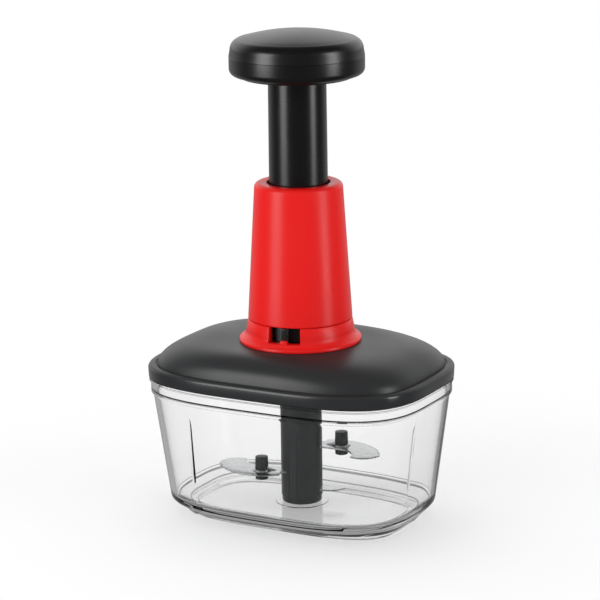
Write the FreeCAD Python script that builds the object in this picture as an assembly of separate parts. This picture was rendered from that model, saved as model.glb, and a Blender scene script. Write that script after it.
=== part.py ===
"""Plunger food chopper: a clear bowl, a domed lid, and a press-down twisted-shaft drive for three blades.

Millimetres. +Z is up, X runs along the bowl's long side, and the origin is under the middle of the foot.
"""
import FreeCAD
import Part
import math
import os

os.makedirs("parts", exist_ok=True)

Vec = FreeCAD.Vector
UP = Vec(0, 0, 1)
ORIGIN = Vec(0, 0, 0)

# Clearances
running_fit = 0.05
sliding_gap = 0.2
free_gap = 0.3
seat_gap = 0.1

# Lid rim outline, the parent of every outline from the bowl's shoulder up
rim_half_x = 88.6
rim_half_y = 64.0
rim_bow_long = 435.0
rim_bow_short = 387.0
rim_corner = 41.0

# Bowl
foot_half_x = 70.0
foot_half_y = 40.5
foot_bow = 590.0
foot_corner = 24.0
foot_height = 2.0
foot_land = 5.0
waist_half_x = 79.0
waist_half_y = 55.4
waist_bow_long = 303.0
waist_bow_short = 332.0
waist_corner = 39.4
waist_z = 10.0
bowl_wall = 2.5
floor_z = 7.3
floor_thickness = 2.8
floor_inset = 3.2
bevel_inside_z = 13.5
band_drop = 13.8
shoulder_inset = 2.5
shoulder_step = 1.0
band_inset = 1.3
flange_inset = 0.4
flange_thickness = 1.8
upstand_height = 4.5
upstand_inset = 2.0
upstand_wall = 2.2
bowl_height = 90.5
bowl_rib_y = 15.0
bowl_rib_radius = 2.0
bowl_rib_top = 66.0
floor_ring_radius = 16.0
floor_ring_height = 0.5

# Pivot pin for the blades
pin_radius = 3.0
pin_top = 34.0
pin_sink = 3.0
pin_boss_radius = 8.0

# Lid
skirt_wall = 1.2
skirt_height = 8.2
skirt_draft = 0.3
skirt_round = 1.6
dome_inset = 4.8
dome_rise = 14.5
dome_power = 3.16
dome_round = 1.79
dome_flat_share = 0.8
dome_shares = (0.0, 0.25, 0.42, 0.6, 0.8, 1.0)
dome_top_bow_long = 75.0
dome_top_bow_short = 60.0
dome_top_corner = 36.0
lid_wall = 2.2
seal_height = 2.0
groove_width = 0.8
groove_depth = 0.6
plug_inset = 4.6
plug_wall = 1.6
plate_thickness = 2.0
plate_drop = 2.0
lid_screw_inset_x = 30.6
lid_screw_inset_y = 32.0
lid_boss_radius = 4.2
screw_radius = 1.5
screw_head_radius = 3.0
screw_head_height = 2.0
lid_screw_length = 12.0

# Clutch and output shaft inside the lid
hub_radius = 17.0
hub_wall = 2.0
journal_radius = 5.0
top_journal_radius = 6.0
bush_wall = 2.5
bush_flange = 2.0
bush_flange_thickness = 1.0
cup_radius = 15.0
cup_wall = 1.4
cup_base = 1.7
ratchet_teeth = 12
ratchet_tooth_depth = 1.6
pawl_count = 3
pawl_thickness = 1.2
pawl_height = 4.0
clutch_hub_radius = 8.6
clutch_height = 7.0
washer_thickness = 1.2
washer_radius = 10.0
clip_thickness = 0.8
clip_mouth_deg = 30.0
clip_radius = 8.0
clip_groove_depth = 0.6
coupling_hex = 10.0
coupling_length = 12.0

# Twisted drive
stroke = 60.0
twist_lead = 30.0
shaft_width = 11.0
shaft_thickness = 4.0
twist_step_deg = 10.0
nut_height = 10.0
nut_gap = 0.2
shaft_spare = 5.0

# Collar
collar_foot_radius = 36.6
collar_edge = 1.6
collar_neck_radius = 31.2
collar_height = 14.0
collar_bore = 28.2
collar_crease_radius = 32.3
collar_crease_height = 7.6
collar_flare_radius = 33.4
collar_flare_height = 4.1
seam_chamfer = 0.45
window_deg = -80.0
window_half_deg = 17.9
window_sill = 4.4
pip_width = 4.2
pip_height = 1.5

# Housing sleeve
sleeve_height = 96.1
sleeve_top_radius = 26.4
sleeve_round = 3.0
sleeve_wall = 2.2
sleeve_top_wall = 2.6
sleeve_hole = 18.9

# Guide tube
guide_bore = 22.6
guide_wall = 1.5
guide_base_thickness = 2.0
guide_base_radius = 27.9
guide_base_bore = 18.2
tower_screw_ring = 26.05
tower_screw_count = 3
tower_screw_length = 8.0
tower_screw_radius = 1.1
tower_screw_head = 1.8
tower_screw_turn = 60.0

# Lock slider
lock_wall = 2.0
lock_half_deg = 30.0
lock_turn_deg = 9.0
lock_rib_width = 4.8
lock_rib_reach = 4.2
lock_arm_half_deg = 6.0
hook_half_deg = 4.0
hook_height = 2.6
hook_reach = 21.2
hook_slot_spare_deg = 2.0

# Plunger tube and its flange
tube_radius = 17.46
tube_top_radius = 17.2
tube_wall = 2.2
tube_socket_depth = 2.7
tube_web = 3.0
flange_radius = 22.3
plunger_flange = 3.0
notch_floor_radius = 20.95
notch_half_deg = 5.5

# Return spring
spring_radius = 20.0
spring_wire = 2.0
spring_turns = 6

# Knob
knob_lift = 62.5
knob_radius = 40.0
knob_height = 27.8
knob_parting = 12.7
knob_under_radius = 33.0
knob_under_step = 1.5
knob_edge_radius = 36.0
knob_edge_round = 4.2
knob_shoulder_radius = 34.0
knob_shoulder_drop = 4.7
knob_shoulder_bow_out = 0.74
knob_shoulder_bow_up = 0.62
knob_side_top_radius = 39.3
knob_side_top_drop = 11.1
knob_wall = 2.6
knob_floor = 2.6
knob_spigot = 1.6
knob_screw_radius = 2.0
knob_screw_head = 4.0
knob_screw_head_height = 2.4
knob_screw_length = 12.0

# Spindle
spindle_radius = 12.5
spindle_drop = 2.3
foot_ring_height = 4.0
foot_ring_radius = 12.0
socket_depth = 12.6
strip_width = 5.0
strip_depth = 2.2
strip_top = 52.0
strip_deg = -87.0

# Blades
blade_thickness = 1.0
blade_high_z = 42.0
blade_mid_z = 27.0
blade_low_z = 15.0
blade_high_deg = 13.0
blade_mid_deg = 205.0
blade_low_deg = 16.0
blade_root_radius = 4.6
blade_root_width = 11.0
blade_root_offset = 3.0
blade_shoulder = 13.5
blade_tip_radius = 52.4
blade_belly = 15.5
blade_belly_radius = 21.0
blade_sweep = 11.0
blade_bulge = 5.0
blade_nick = 4.5
blade_nick_radius = 25.0
blade_hollow = 2.5
blade_tooth = 18.5
blade_tooth_radius = 35.0
blade_back_bow = 4.0
blade_low_tip = 26.5
blade_low_width = 8.0
blade_edge_width = 3.0
blade_edge_depth = 0.6

# Mixing pegs
peg_reach = 24.0
peg_offset = 4.0
peg_radius = 4.1
peg_top_radius = 3.8
peg_waist = 3.0
peg_above = 8.2
peg_below = 4.6
peg_rim_radius = 5.6
peg_rim_height = 0.7
arm_width = 4.0
arm_height = 2.0

# Levels worked out from the sizes above
lid_seat_z = bowl_height - upstand_height
shoulder_z = bowl_height - band_drop
skirt_top = lid_seat_z + skirt_height
lid_screw_x = rim_half_x - lid_screw_inset_x
lid_screw_y = rim_half_y - lid_screw_inset_y
dome_z = skirt_top
deck_z = dome_z + dome_rise
seal_top = bowl_height + seat_gap + seal_height
skirt_bottom = lid_seat_z + sliding_gap
plate_z = bowl_height - plate_drop
flange_z = lid_seat_z - flange_thickness
seam_z = deck_z + collar_height
window_z = deck_z + window_sill
sleeve_top_z = deck_z + sleeve_height
knob_bottom_z = sleeve_top_z + knob_lift
spindle_top = plate_z - spindle_drop
sleeve_under = sleeve_top_z - sleeve_top_wall
flange_top = sleeve_under - sliding_gap
flange_bottom = flange_top - plunger_flange
guide_base_top = deck_z + guide_base_thickness
guide_radius = guide_bore + guide_wall
guide_top = sleeve_under - free_gap - sleeve_wall
tube_bottom = guide_base_top + stroke + sliding_gap
tube_end = knob_bottom_z + tube_socket_depth
nut_top = tube_bottom + nut_height
shaft_bottom = deck_z + free_gap
shaft_top = nut_top + shaft_spare
lock_inner = guide_radius + sliding_gap + free_gap
lock_outer = lock_inner + lock_wall
lock_bottom = guide_base_top + sliding_gap
hook_z = flange_top - stroke + free_gap
spindle_bottom = floor_z + floor_ring_height + sliding_gap
bush_top = plate_z + plate_thickness + bush_flange_thickness
bush_bottom = plate_z - bush_flange_thickness
cup_z = bush_top + sliding_gap
clutch_z = cup_z + cup_base + sliding_gap
clutch_top = clutch_z + clutch_height
washer_z = deck_z - lid_wall - sliding_gap - washer_thickness
knob_top = knob_bottom_z + knob_height
knob_parting_z = knob_bottom_z + knob_parting


def polar(radius, degrees, z=0.0):
    """Point at a radius and an angle about the part's axis."""
    angle = math.radians(degrees)
    return Vec(radius * math.cos(angle), radius * math.sin(angle), z)


def disc(radius, z0, z1, x=0.0, y=0.0):
    """Solid cylinder standing between two heights."""
    return Part.makeCylinder(radius, z1 - z0, Vec(x, y, z0), UP)


def ring(outer, inner, z0, z1):
    """Tube between two heights."""
    return disc(outer, z0, z1).cut(disc(inner, z0, z1))


def taper(r0, r1, z0, z1, x=0.0, y=0.0):
    """Cone standing between two heights."""
    return Part.makeCone(r0, r1, z1 - z0, Vec(x, y, z0), UP)


def sector(inner, outer, z0, z1, mid_deg, half_deg):
    """Piece of a tube, centred on an angle."""
    corners = [Vec(inner, 0, z0), Vec(outer, 0, z0), Vec(outer, 0, z1), Vec(inner, 0, z1), Vec(inner, 0, z0)]
    piece = Part.Face(Part.makePolygon(corners)).revolve(ORIGIN, UP, 2 * half_deg)
    piece.rotate(ORIGIN, UP, mid_deg - half_deg)
    return piece


def turned(start, *steps):
    """Solid of revolution; each step is an end point, or a middle and an end point of an arc."""
    edges = []
    here = Vec(start[0], 0, start[1])
    for step in steps + (start,):
        if isinstance(step[0], tuple):
            through = Vec(step[0][0], 0, step[0][1])
            there = Vec(step[1][0], 0, step[1][1])
            edges.append(Part.Arc(here, through, there).toShape())
        else:
            there = Vec(step[0], 0, step[1])
            edges.append(Part.LineSegment(here, there).toShape())
        here = there
    return Part.Face(Part.Wire(edges)).revolve(ORIGIN, UP, 360)


def arc_between(centre, radius, start_deg, end_deg, z):
    """Edge of a circle between two angles, taken the short way as the angles are given."""
    points = []
    for degrees in (start_deg, (start_deg + end_deg) / 2, end_deg):
        angle = math.radians(degrees)
        points.append(Vec(centre[0] + radius * math.cos(angle), centre[1] + radius * math.sin(angle), z))
    return Part.Arc(*points).toShape()


def outline(half_x, half_y, bow_long, bow_short, corner, z):
    """Closed wire of four bowed sides joined by four tangent corner arcs."""
    long_centre = half_y - bow_long
    short_centre = half_x - bow_short
    apart = math.hypot(short_centre, long_centre)
    long_reach = bow_long - corner
    short_reach = bow_short - corner
    along = (long_reach ** 2 - short_reach ** 2 + apart ** 2) / (2 * apart)
    aside = math.sqrt(long_reach ** 2 - along ** 2)
    ex = short_centre / apart
    ey = -long_centre / apart
    corner_x = ex * along + ey * aside
    corner_y = long_centre + ey * along - ex * aside
    if corner_x < 0:
        corner_x = ex * along - ey * aside
        corner_y = long_centre + ey * along + ex * aside
    turn_long = math.degrees(math.atan2(corner_y - long_centre, corner_x))
    turn_short = math.degrees(math.atan2(corner_y, corner_x - short_centre))
    edges = [
        arc_between((short_centre, 0), bow_short, -turn_short, turn_short, z),
        arc_between((corner_x, corner_y), corner, turn_short, turn_long, z),
        arc_between((0, long_centre), bow_long, turn_long, 180 - turn_long, z),
        arc_between((-corner_x, corner_y), corner, 180 - turn_long, 180 - turn_short, z),
        arc_between((-short_centre, 0), bow_short, 180 - turn_short, 180 + turn_short, z),
        arc_between((-corner_x, -corner_y), corner, 180 + turn_short, 180 + turn_long, z),
        arc_between((0, -long_centre), bow_long, 180 + turn_long, 360 - turn_long, z),
        arc_between((corner_x, -corner_y), corner, 360 - turn_long, 360 - turn_short, z),
    ]
    return Part.Wire(edges)


def rim(inset, z):
    """Lid rim outline, drawn in by an inset."""
    return outline(rim_half_x - inset, rim_half_y - inset, rim_bow_long - inset,
                   rim_bow_short - inset, rim_corner - inset, z)


def waist(inset, z):
    """Bowl outline where the wall meets the bevel."""
    return outline(waist_half_x - inset, waist_half_y - inset, waist_bow_long - inset,
                   waist_bow_short - inset, waist_corner - inset, z)


def foot(inset, z):
    """Bowl outline at the foot."""
    return outline(foot_half_x - inset, foot_half_y - inset, foot_bow - inset,
                   foot_bow - inset, foot_corner - inset, z)


def ruled(*wires):
    """Straight-sided solid through a stack of outlines."""
    return Part.makeLoft(list(wires), True, True)


def fused(first, *others):
    """One solid from overlapping ones."""
    return first.fuse(list(others)).removeSplitter()


def save(name, shape):
    """Write one sub-part."""
    shape.exportStep("parts/" + name + ".step")
    print(name, len(shape.Solids), round(shape.Volume, 1), shape.isValid())


def wall_x(z):
    """Half width of the bowl's inside at a height, between the bevel and the shoulder."""
    low = waist_half_x - bowl_wall
    high = rim_half_x - shoulder_inset - bowl_wall
    return low + (high - low) * (z - bevel_inside_z) / (shoulder_z - bevel_inside_z)


def make_bowl():
    """Clear bowl: foot, bevel, drafted wall, shoulder band, lid flange and upstand."""
    body = ruled(foot(0, 0), foot(0, foot_height), waist(0, waist_z), rim(shoulder_inset, shoulder_z))
    band = ruled(rim(band_inset, shoulder_z), rim(band_inset, flange_z))
    flange = ruled(rim(flange_inset, flange_z), rim(flange_inset, lid_seat_z))
    upstand = ruled(rim(upstand_inset, lid_seat_z), rim(upstand_inset, bowl_height))
    body = body.fuse([band, flange, upstand])
    wall_inset = shoulder_inset + bowl_wall
    inner_step_z = shoulder_z + shoulder_step
    hollow = ruled(foot(floor_inset, floor_z), waist(bowl_wall, bevel_inside_z),
                   rim(wall_inset, inner_step_z))
    mouth_inset = upstand_inset + upstand_wall
    mouth = ruled(rim(mouth_inset, inner_step_z), rim(mouth_inset, bowl_height))
    recess = ruled(foot(foot_land, 0), foot(foot_land, floor_z - floor_thickness))
    body = body.cut(hollow).cut(mouth).cut(recess)
    ribs = []
    for side_x in (-1, 1):
        for side_y in (-1, 1):
            ribs.append(make_bowl_rib(side_x, side_y))
    floor_ring = disc(floor_ring_radius, floor_z - floor_ring_height, floor_z + floor_ring_height)
    boss = disc(pin_boss_radius, floor_z - pin_sink - floor_ring_height, floor_z)
    body = fused(body, floor_ring, boss, *ribs)
    return body.cut(disc(pin_radius, floor_z - pin_sink, floor_z + floor_ring_height))


def make_bowl_rib(side_x, side_y):
    """Round rib that stands on the inside of a short wall and follows its slope."""
    sections = []
    for z in (bevel_inside_z, bowl_rib_top):
        circle = Part.Circle(Vec(side_x * wall_x(z), side_y * bowl_rib_y, z), UP, bowl_rib_radius)
        sections.append(Part.Wire(circle.toShape()))
    return Part.makeLoft(sections, True, True)


def make_pivot_pin():
    """Steel pin pressed into the bowl's floor, with a rounded top."""
    pin = disc(pin_radius, floor_z - pin_sink, pin_top)
    edges = [edge for edge in pin.Edges if edge.BoundBox.ZMin > pin_top - running_fit]
    return pin.makeFillet(pin_radius / 2, edges)


def dome_section(share, shrink=0.0, drop=0.0):
    """Outline across the dome, from its foot at share 0 to the flat deck."""
    neck = collar_foot_radius
    half_x = rim_half_x - dome_inset
    half_y = rim_half_y - dome_inset
    half_x += (neck - half_x) * share
    half_y += (neck - half_y) * share
    rise = dome_rise * (1 - (1 - share) ** dome_power) ** (1 / dome_round)
    blend = (1 - share / dome_flat_share) ** 2
    bow_long = dome_top_bow_long + (rim_bow_long - dome_inset - dome_top_bow_long) * blend
    bow_short = dome_top_bow_short + (rim_bow_short - dome_inset - dome_top_bow_short) * blend
    corner = dome_top_corner + (rim_corner - dome_inset - dome_top_corner) * (1 - share / dome_flat_share)
    if share == dome_flat_share:
        rise = dome_rise
    return outline(half_x - shrink, half_y - shrink, bow_long - shrink, bow_short - shrink,
                   corner - shrink, dome_z + rise - drop)


def dome_solid(shrink=0.0, drop=0.0):
    """Smooth dome through a fan of sections that close up towards its shoulder."""
    shares = [dome_flat_share * step ** 2 for step in dome_shares]
    sections = [dome_section(share, shrink, drop) for share in shares]
    return Part.makeLoft(sections, True, False)


def make_lid_cover():
    """Lid shell: skirt, ledge with a fine groove, dome, flat deck and the clutch hub."""
    skirt = ruled(rim(0, skirt_bottom), rim(skirt_draft, skirt_top - skirt_round),
                  rim(skirt_round / 2, skirt_top - skirt_round / 3), rim(skirt_round, skirt_top))
    cover = skirt.fuse(dome_solid())
    skirt_hollow = ruled(rim(skirt_wall, skirt_bottom), rim(skirt_wall, seal_top))
    dome_foot = dome_inset + lid_wall
    dome_hollow = dome_solid(lid_wall, lid_wall)
    neck = ruled(rim(dome_foot, seal_top), rim(dome_foot, dome_z))
    groove_inset = dome_inset - groove_width
    groove = ruled(rim(groove_inset, skirt_top - groove_depth), rim(groove_inset, skirt_top))
    groove = groove.cut(ruled(rim(dome_inset, skirt_top - groove_depth), rim(dome_inset, skirt_top)))
    cover = cover.cut(skirt_hollow).cut(neck).cut(dome_hollow).cut(groove)
    hub = ring(hub_radius + hub_wall, hub_radius, bush_top, deck_z - lid_wall / 2)
    bosses = []
    for x in (-lid_screw_x, lid_screw_x):
        for y in (-lid_screw_y, lid_screw_y):
            lower = disc(lid_boss_radius, plate_z + plate_thickness, dome_z, x, y)
            upper = disc(lid_boss_radius, dome_z, deck_z, x, y).common(dome_solid(lid_wall / 2, lid_wall / 2))
            bosses.append(fused(lower, upper))
    cover = fused(cover, hub, *bosses)
    for x in (-lid_screw_x, lid_screw_x):
        for y in (-lid_screw_y, lid_screw_y):
            cover = cover.cut(disc(screw_radius, plate_z, plate_z + lid_screw_length, x, y))
    cover = cover.cut(disc(top_journal_radius + running_fit, deck_z - 2 * lid_wall, deck_z))
    for turn in range(tower_screw_count):
        spot = polar(tower_screw_ring, window_deg + tower_screw_turn + turn * 360 / tower_screw_count)
        hole = disc(tower_screw_radius, deck_z - 2 * lid_wall, deck_z, spot.x, spot.y)
        cover = cover.cut(hole)
    return cover


def make_lid_plate():
    """Plate that closes the lid from below, with its plug wall and the bush seat."""
    plate = ruled(rim(plug_inset, plate_z), rim(plug_inset, seal_top))
    inset = plug_inset + plug_wall
    inside = ruled(rim(inset, plate_z + plate_thickness), rim(inset, seal_top))
    plate = plate.cut(inside)
    plate = plate.cut(disc(journal_radius + bush_wall, plate_z, plate_z + plate_thickness))
    for x in (-lid_screw_x, lid_screw_x):
        for y in (-lid_screw_y, lid_screw_y):
            plate = plate.cut(disc(screw_radius + sliding_gap, plate_z, plate_z + plate_thickness, x, y))
    return plate


def make_lid_seal():
    """Rubber ring between the bowl's rim and the lid."""
    seal_out = upstand_inset + seat_gap
    seal_in = plug_inset - seat_gap
    z0 = bowl_height + seat_gap
    outside = ruled(rim(seal_out, z0), rim(seal_out, seal_top))
    return outside.cut(ruled(rim(seal_in, z0), rim(seal_in, seal_top)))


def make_lid_screws():
    """Four screws that hold the plate to the lid."""
    screws = []
    for x in (-lid_screw_x, lid_screw_x):
        for y in (-lid_screw_y, lid_screw_y):
            shank = disc(screw_radius, plate_z - screw_head_height, plate_z + lid_screw_length, x, y)
            head = disc(screw_head_radius, plate_z - screw_head_height, plate_z, x, y)
            screws.append(shank.fuse(head).removeSplitter())
    return Part.makeCompound(screws)


def make_shaft_bush():
    """Flanged bush in the plate that carries the output shaft."""
    bush_radius = journal_radius + bush_wall
    bore = journal_radius + running_fit
    flange = ring(bush_radius + bush_flange, bore, plate_z + plate_thickness, bush_top)
    sleeve = ring(bush_radius, bore, bush_bottom, plate_z + plate_thickness)
    return fused(sleeve, flange)


def hexagon(across_flats, z0, z1):
    """Hexagonal prism on the axis."""
    radius = across_flats / math.sqrt(3)
    corners = [polar(radius, 60 * turn, z0) for turn in range(7)]
    return Part.Face(Part.makePolygon(corners)).extrude(Vec(0, 0, z1 - z0))


def make_output_coupling():
    """Ratchet cup, journal and hex end that drops into the spindle."""
    cup = disc(cup_radius, cup_z, clutch_top - free_gap)
    tooth_root = cup_radius - cup_wall
    cavity = ratchet_cavity(tooth_root, cup_z + cup_base, clutch_top)
    cup = cup.cut(cavity)
    journal = disc(journal_radius, spindle_top - sliding_gap, cup_z + cup_base)
    hex_end = hexagon(coupling_hex, spindle_top - coupling_length, spindle_top)
    return fused(cup, journal, hex_end)


def ratchet_cavity(root_radius, z0, z1):
    """Inside of the ratchet cup: saw teeth that let the pawls slip one way."""
    corners = []
    pitch = 360.0 / ratchet_teeth
    for tooth in range(ratchet_teeth):
        corners.append(polar(root_radius, tooth * pitch, z0))
        corners.append(polar(root_radius - ratchet_tooth_depth, tooth * pitch, z0))
    corners.append(corners[0])
    return Part.Face(Part.makePolygon(corners)).extrude(Vec(0, 0, z1 - z0))


def make_clutch_hub():
    """Hub on the foot of the twisted shaft, with a seat for each pawl."""
    hub = disc(clutch_hub_radius, clutch_z, clutch_top)
    hub = hub.fuse(disc(top_journal_radius + clip_groove_depth, clutch_top, washer_z - sliding_gap))
    for turn in range(pawl_count):
        slot = pawl_block(running_fit, clutch_height)
        slot.rotate(ORIGIN, UP, turn * 360.0 / pawl_count)
        hub = hub.cut(slot)
    return hub.cut(disc(top_journal_radius / 2, clutch_z, washer_z))


def pawl_block(margin, height):
    """Straight leaf that leans from the hub towards a ratchet tooth."""
    tip = cup_radius - cup_wall - ratchet_tooth_depth - free_gap
    root = clutch_hub_radius - 2 * pawl_thickness
    length = tip - root
    z0 = clutch_z + (clutch_height - height) / 2
    block = Part.makeBox(length, pawl_thickness + 2 * margin, height, Vec(root, -margin, z0))
    return block


def make_clutch_pawls():
    """Spring pawls that push the ratchet cup round on the down stroke."""
    pawls = []
    for turn in range(pawl_count):
        pawl = pawl_block(0.0, pawl_height)
        pawl.rotate(ORIGIN, UP, turn * 360.0 / pawl_count)
        pawls.append(pawl)
    return Part.makeCompound(pawls)


def make_thrust_washer():
    """Washer between the clutch hub and the deck."""
    return ring(washer_radius, top_journal_radius + running_fit, washer_z, washer_z + washer_thickness)


def make_retaining_clip():
    """Clip on the output shaft under the bush."""
    z1 = bush_bottom - running_fit
    clip = ring(clip_radius, journal_radius, z1 - clip_thickness, z1)
    return clip.cut(sector(0, clip_radius * 2, z1 - clip_thickness, z1, 0, clip_mouth_deg))


def twisted_bar(width, thickness, z0, z1, full=False):
    """Flat bar twisted right-handed about the axis, in flat facets that lie inside or, full, outside."""
    steps = max(2, math.ceil((z1 - z0) / twist_lead * 360.0 / twist_step_deg))
    slant = math.degrees(math.atan2(thickness, width))
    radius = math.hypot(width, thickness) / 2
    rings = []
    for step in range(steps + 1):
        z = z0 + (z1 - z0) * step / steps
        turn = 360.0 * z / twist_lead
        corners = (slant, 180 - slant, 180 + slant, -slant)
        rings.append([polar(radius, turn + corner, z) for corner in corners])
    faces = [flat_face(rings[0]), flat_face(rings[-1])]
    for low, high in zip(rings, rings[1:]):
        for side in range(4):
            after = (side + 1) % 4
            faces.append(flat_face([low[side], low[after], high[side] if full else high[after]]))
            faces.append(flat_face([low[after] if full else low[side], high[after], high[side]]))
    shell = Part.makeShell(faces)
    shell.sewShape()
    return Part.Solid(shell.Shells[0])


def flat_face(corners):
    """Flat face through a ring of corners."""
    return Part.Face(Part.makePolygon(corners + corners[:1]))


def make_twisted_shaft():
    """Twisted drive bar with the round journal that turns in the deck."""
    bar = twisted_bar(shaft_width, shaft_thickness, shaft_bottom, shaft_top)
    journal = disc(top_journal_radius, washer_z - sliding_gap, shaft_bottom)
    stub = disc(top_journal_radius / 2, clutch_z + sliding_gap, washer_z - sliding_gap)
    return fused(bar, journal, stub)


def make_drive_nut():
    """Nut in the foot of the plunger tube whose slot follows the twist."""
    nut = disc(tube_radius - tube_wall - running_fit, tube_bottom, nut_top)
    slot = twisted_bar(shaft_width + 2 * nut_gap, shaft_thickness + 2 * nut_gap,
                       tube_bottom - sliding_gap, nut_top + sliding_gap, full=True)
    return nut.cut(slot)


def make_collar():
    """Flared collar with the lock window and its pointer pip."""
    top = seam_z
    edge = deck_z + collar_edge
    collar = turned((collar_bore, deck_z), (collar_foot_radius, deck_z), (collar_foot_radius, edge),
                    (collar_foot_radius - collar_edge / 2, edge + collar_edge / 2),
                    ((collar_flare_radius, deck_z + collar_flare_height),
                     (collar_crease_radius, deck_z + collar_crease_height)),
                    (collar_neck_radius, top - seam_chamfer),
                    (collar_neck_radius - seam_chamfer, top), (collar_bore, top))
    window = sector(collar_bore / 2, collar_foot_radius, window_z, top, window_deg, window_half_deg)
    collar = collar.cut(window)
    pip_outer = collar_neck_radius + pip_height
    pip = Part.makeBox(pip_outer - collar_bore, pip_width, pip_height,
                       Vec(collar_bore + free_gap, -pip_width / 2, window_z - pip_height / 2))
    pip.rotate(ORIGIN, UP, window_deg)
    return fused(collar, pip)


def make_housing_sleeve():
    """Tapered sleeve round the guide tube, closed by a rounded top with the plunger hole."""
    shoulder = sleeve_top_z - sleeve_round
    corner = sleeve_round * (1 - math.sqrt(0.5))
    return turned((collar_bore, seam_z), (collar_neck_radius - seam_chamfer, seam_z),
                  (collar_neck_radius, seam_z + seam_chamfer),
                  (sleeve_top_radius, shoulder),
                  ((sleeve_top_radius - corner, sleeve_top_z - corner),
                   (sleeve_top_radius - sleeve_round, sleeve_top_z)),
                  (sleeve_hole + seam_chamfer, sleeve_top_z), (sleeve_hole, sleeve_top_z - seam_chamfer),
                  (sleeve_hole, sleeve_under), (sleeve_top_radius - sleeve_wall, sleeve_under),
                  (collar_neck_radius - sleeve_wall, seam_z + sleeve_wall),
                  (collar_bore, seam_z + sleeve_wall))


def make_guide_tube():
    """Inner tube that guides the plunger, with its screwed base and the slot for the hook."""
    tube = ring(guide_radius, guide_bore, deck_z, guide_top)
    base = ring(guide_base_radius, guide_base_bore, deck_z, guide_base_top)
    tube = fused(tube, base)
    slot_half = hook_half_deg + lock_turn_deg + hook_slot_spare_deg
    slot = sector(guide_bore / 2, guide_radius * 2, hook_z - free_gap, hook_z + hook_height + free_gap,
                  window_deg, slot_half)
    tube = tube.cut(slot)
    for turn in range(tower_screw_count):
        spot = polar(tower_screw_ring, window_deg + tower_screw_turn + turn * 360 / tower_screw_count)
        tube = tube.cut(disc(tower_screw_radius + running_fit, deck_z, guide_base_top, spot.x, spot.y))
    return tube


def make_tower_screws():
    """Screws that hold the guide tube's base down to the deck."""
    screws = []
    for turn in range(tower_screw_count):
        spot = polar(tower_screw_ring, window_deg + tower_screw_turn + turn * 360 / tower_screw_count)
        shank = disc(tower_screw_radius, guide_base_top - tower_screw_length, guide_base_top, spot.x, spot.y)
        head = disc(tower_screw_head, guide_base_top, guide_base_top + tower_screw_head / 2, spot.x, spot.y)
        screws.append(fused(shank, head))
    return Part.makeCompound(screws)


def make_lock_slider():
    """Thumb slider behind the window, with the arm and hook that hold the plunger down."""
    plate = sector(lock_inner, lock_outer, lock_bottom, seam_z - free_gap, window_deg, lock_half_deg)
    rib_z = window_z + pip_height / 2 + free_gap
    rib = Part.makeBox(lock_rib_reach + lock_wall / 2, lock_rib_width, seam_z - free_gap - rib_z,
                       Vec(lock_outer - lock_wall / 2, -lock_rib_width / 2, rib_z))
    tip_edges = [edge for edge in rib.Edges if edge.BoundBox.XMin > lock_outer]
    rib = rib.makeFillet(lock_rib_width / 5, tip_edges)
    rib.rotate(ORIGIN, UP, window_deg)
    arm = sector(lock_inner, lock_outer, lock_bottom, hook_z + hook_height, window_deg, lock_arm_half_deg)
    hook = sector(hook_reach, lock_outer, hook_z, hook_z + hook_height, window_deg, hook_half_deg)
    return fused(plate, rib, arm, hook)


def make_plunger_tube():
    """Drafted tube with its stop flange and the hook's notch."""
    tube = disc(tube_radius, tube_bottom, flange_top)
    tube = tube.fuse(taper(tube_radius, tube_top_radius, flange_top, knob_bottom_z))
    tube = tube.fuse(disc(tube_top_radius - running_fit, knob_bottom_z, tube_end))
    inside = tube_radius - tube_wall
    tube = tube.cut(disc(inside, tube_bottom, tube_end - tube_web))
    flange = ring(flange_radius, inside, flange_bottom, flange_top)
    notch = sector(notch_floor_radius, flange_radius * 2, flange_bottom, flange_top, window_deg,
                   notch_half_deg)
    tube = fused(tube, flange.cut(notch))
    return tube.cut(disc(knob_screw_radius, tube_end - tube_web, tube_end))


def arc_from(start, tangent, end):
    """Arc that leaves a point along a tangent and ends at another point."""
    chord = end - start
    across = chord - tangent * chord.dot(tangent)
    centre = start + across * (chord.dot(chord) / (2 * chord.dot(across)))
    radius = (start - centre).Length
    outward = (start - centre) + (end - centre)
    outward.normalize()
    return Part.Arc(start, centre + outward * radius, end).toShape()


def helix_point(radius, pitch, turns, z):
    """Point and unit tangent on a right-handed helix after some turns."""
    angle = 2 * math.pi * turns
    point = Vec(radius * math.cos(angle), radius * math.sin(angle), z + pitch * turns)
    tangent = Vec(-radius * math.sin(angle), radius * math.cos(angle), pitch / (2 * math.pi))
    tangent.normalize()
    return point, tangent


def make_return_spring():
    """Compression spring, one unbroken tube on half-turn biarcs."""
    z0 = guide_base_top + spring_wire / 2 + seat_gap
    z1 = flange_bottom - spring_wire / 2 - seat_gap
    pitch = (z1 - z0) / spring_turns
    edges = []
    for half in range(2 * spring_turns):
        start, leave = helix_point(spring_radius, pitch, half / 2, z0)
        end, arrive = helix_point(spring_radius, pitch, (half + 1) / 2, z0)
        chord = end - start
        both = leave + arrive
        spread = 2 * (1 - leave.dot(arrive))
        reach = (math.sqrt(chord.dot(both) ** 2 + spread * chord.dot(chord)) - chord.dot(both)) / spread
        middle = (start + end + (leave - arrive) * reach) * 0.5
        edges.append(arc_from(start, leave, middle))
        knee = (middle - start - leave * reach)
        knee.normalize()
        edges.append(arc_from(middle, knee, end))
    start, leave = helix_point(spring_radius, pitch, 0, z0)
    section = Part.Wire(Part.Circle(start, leave, spring_wire / 2).toShape())
    print("spring gap", round(pitch - spring_wire, 2))
    return Part.Wire(edges).makePipeShell([section], True, False)


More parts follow.
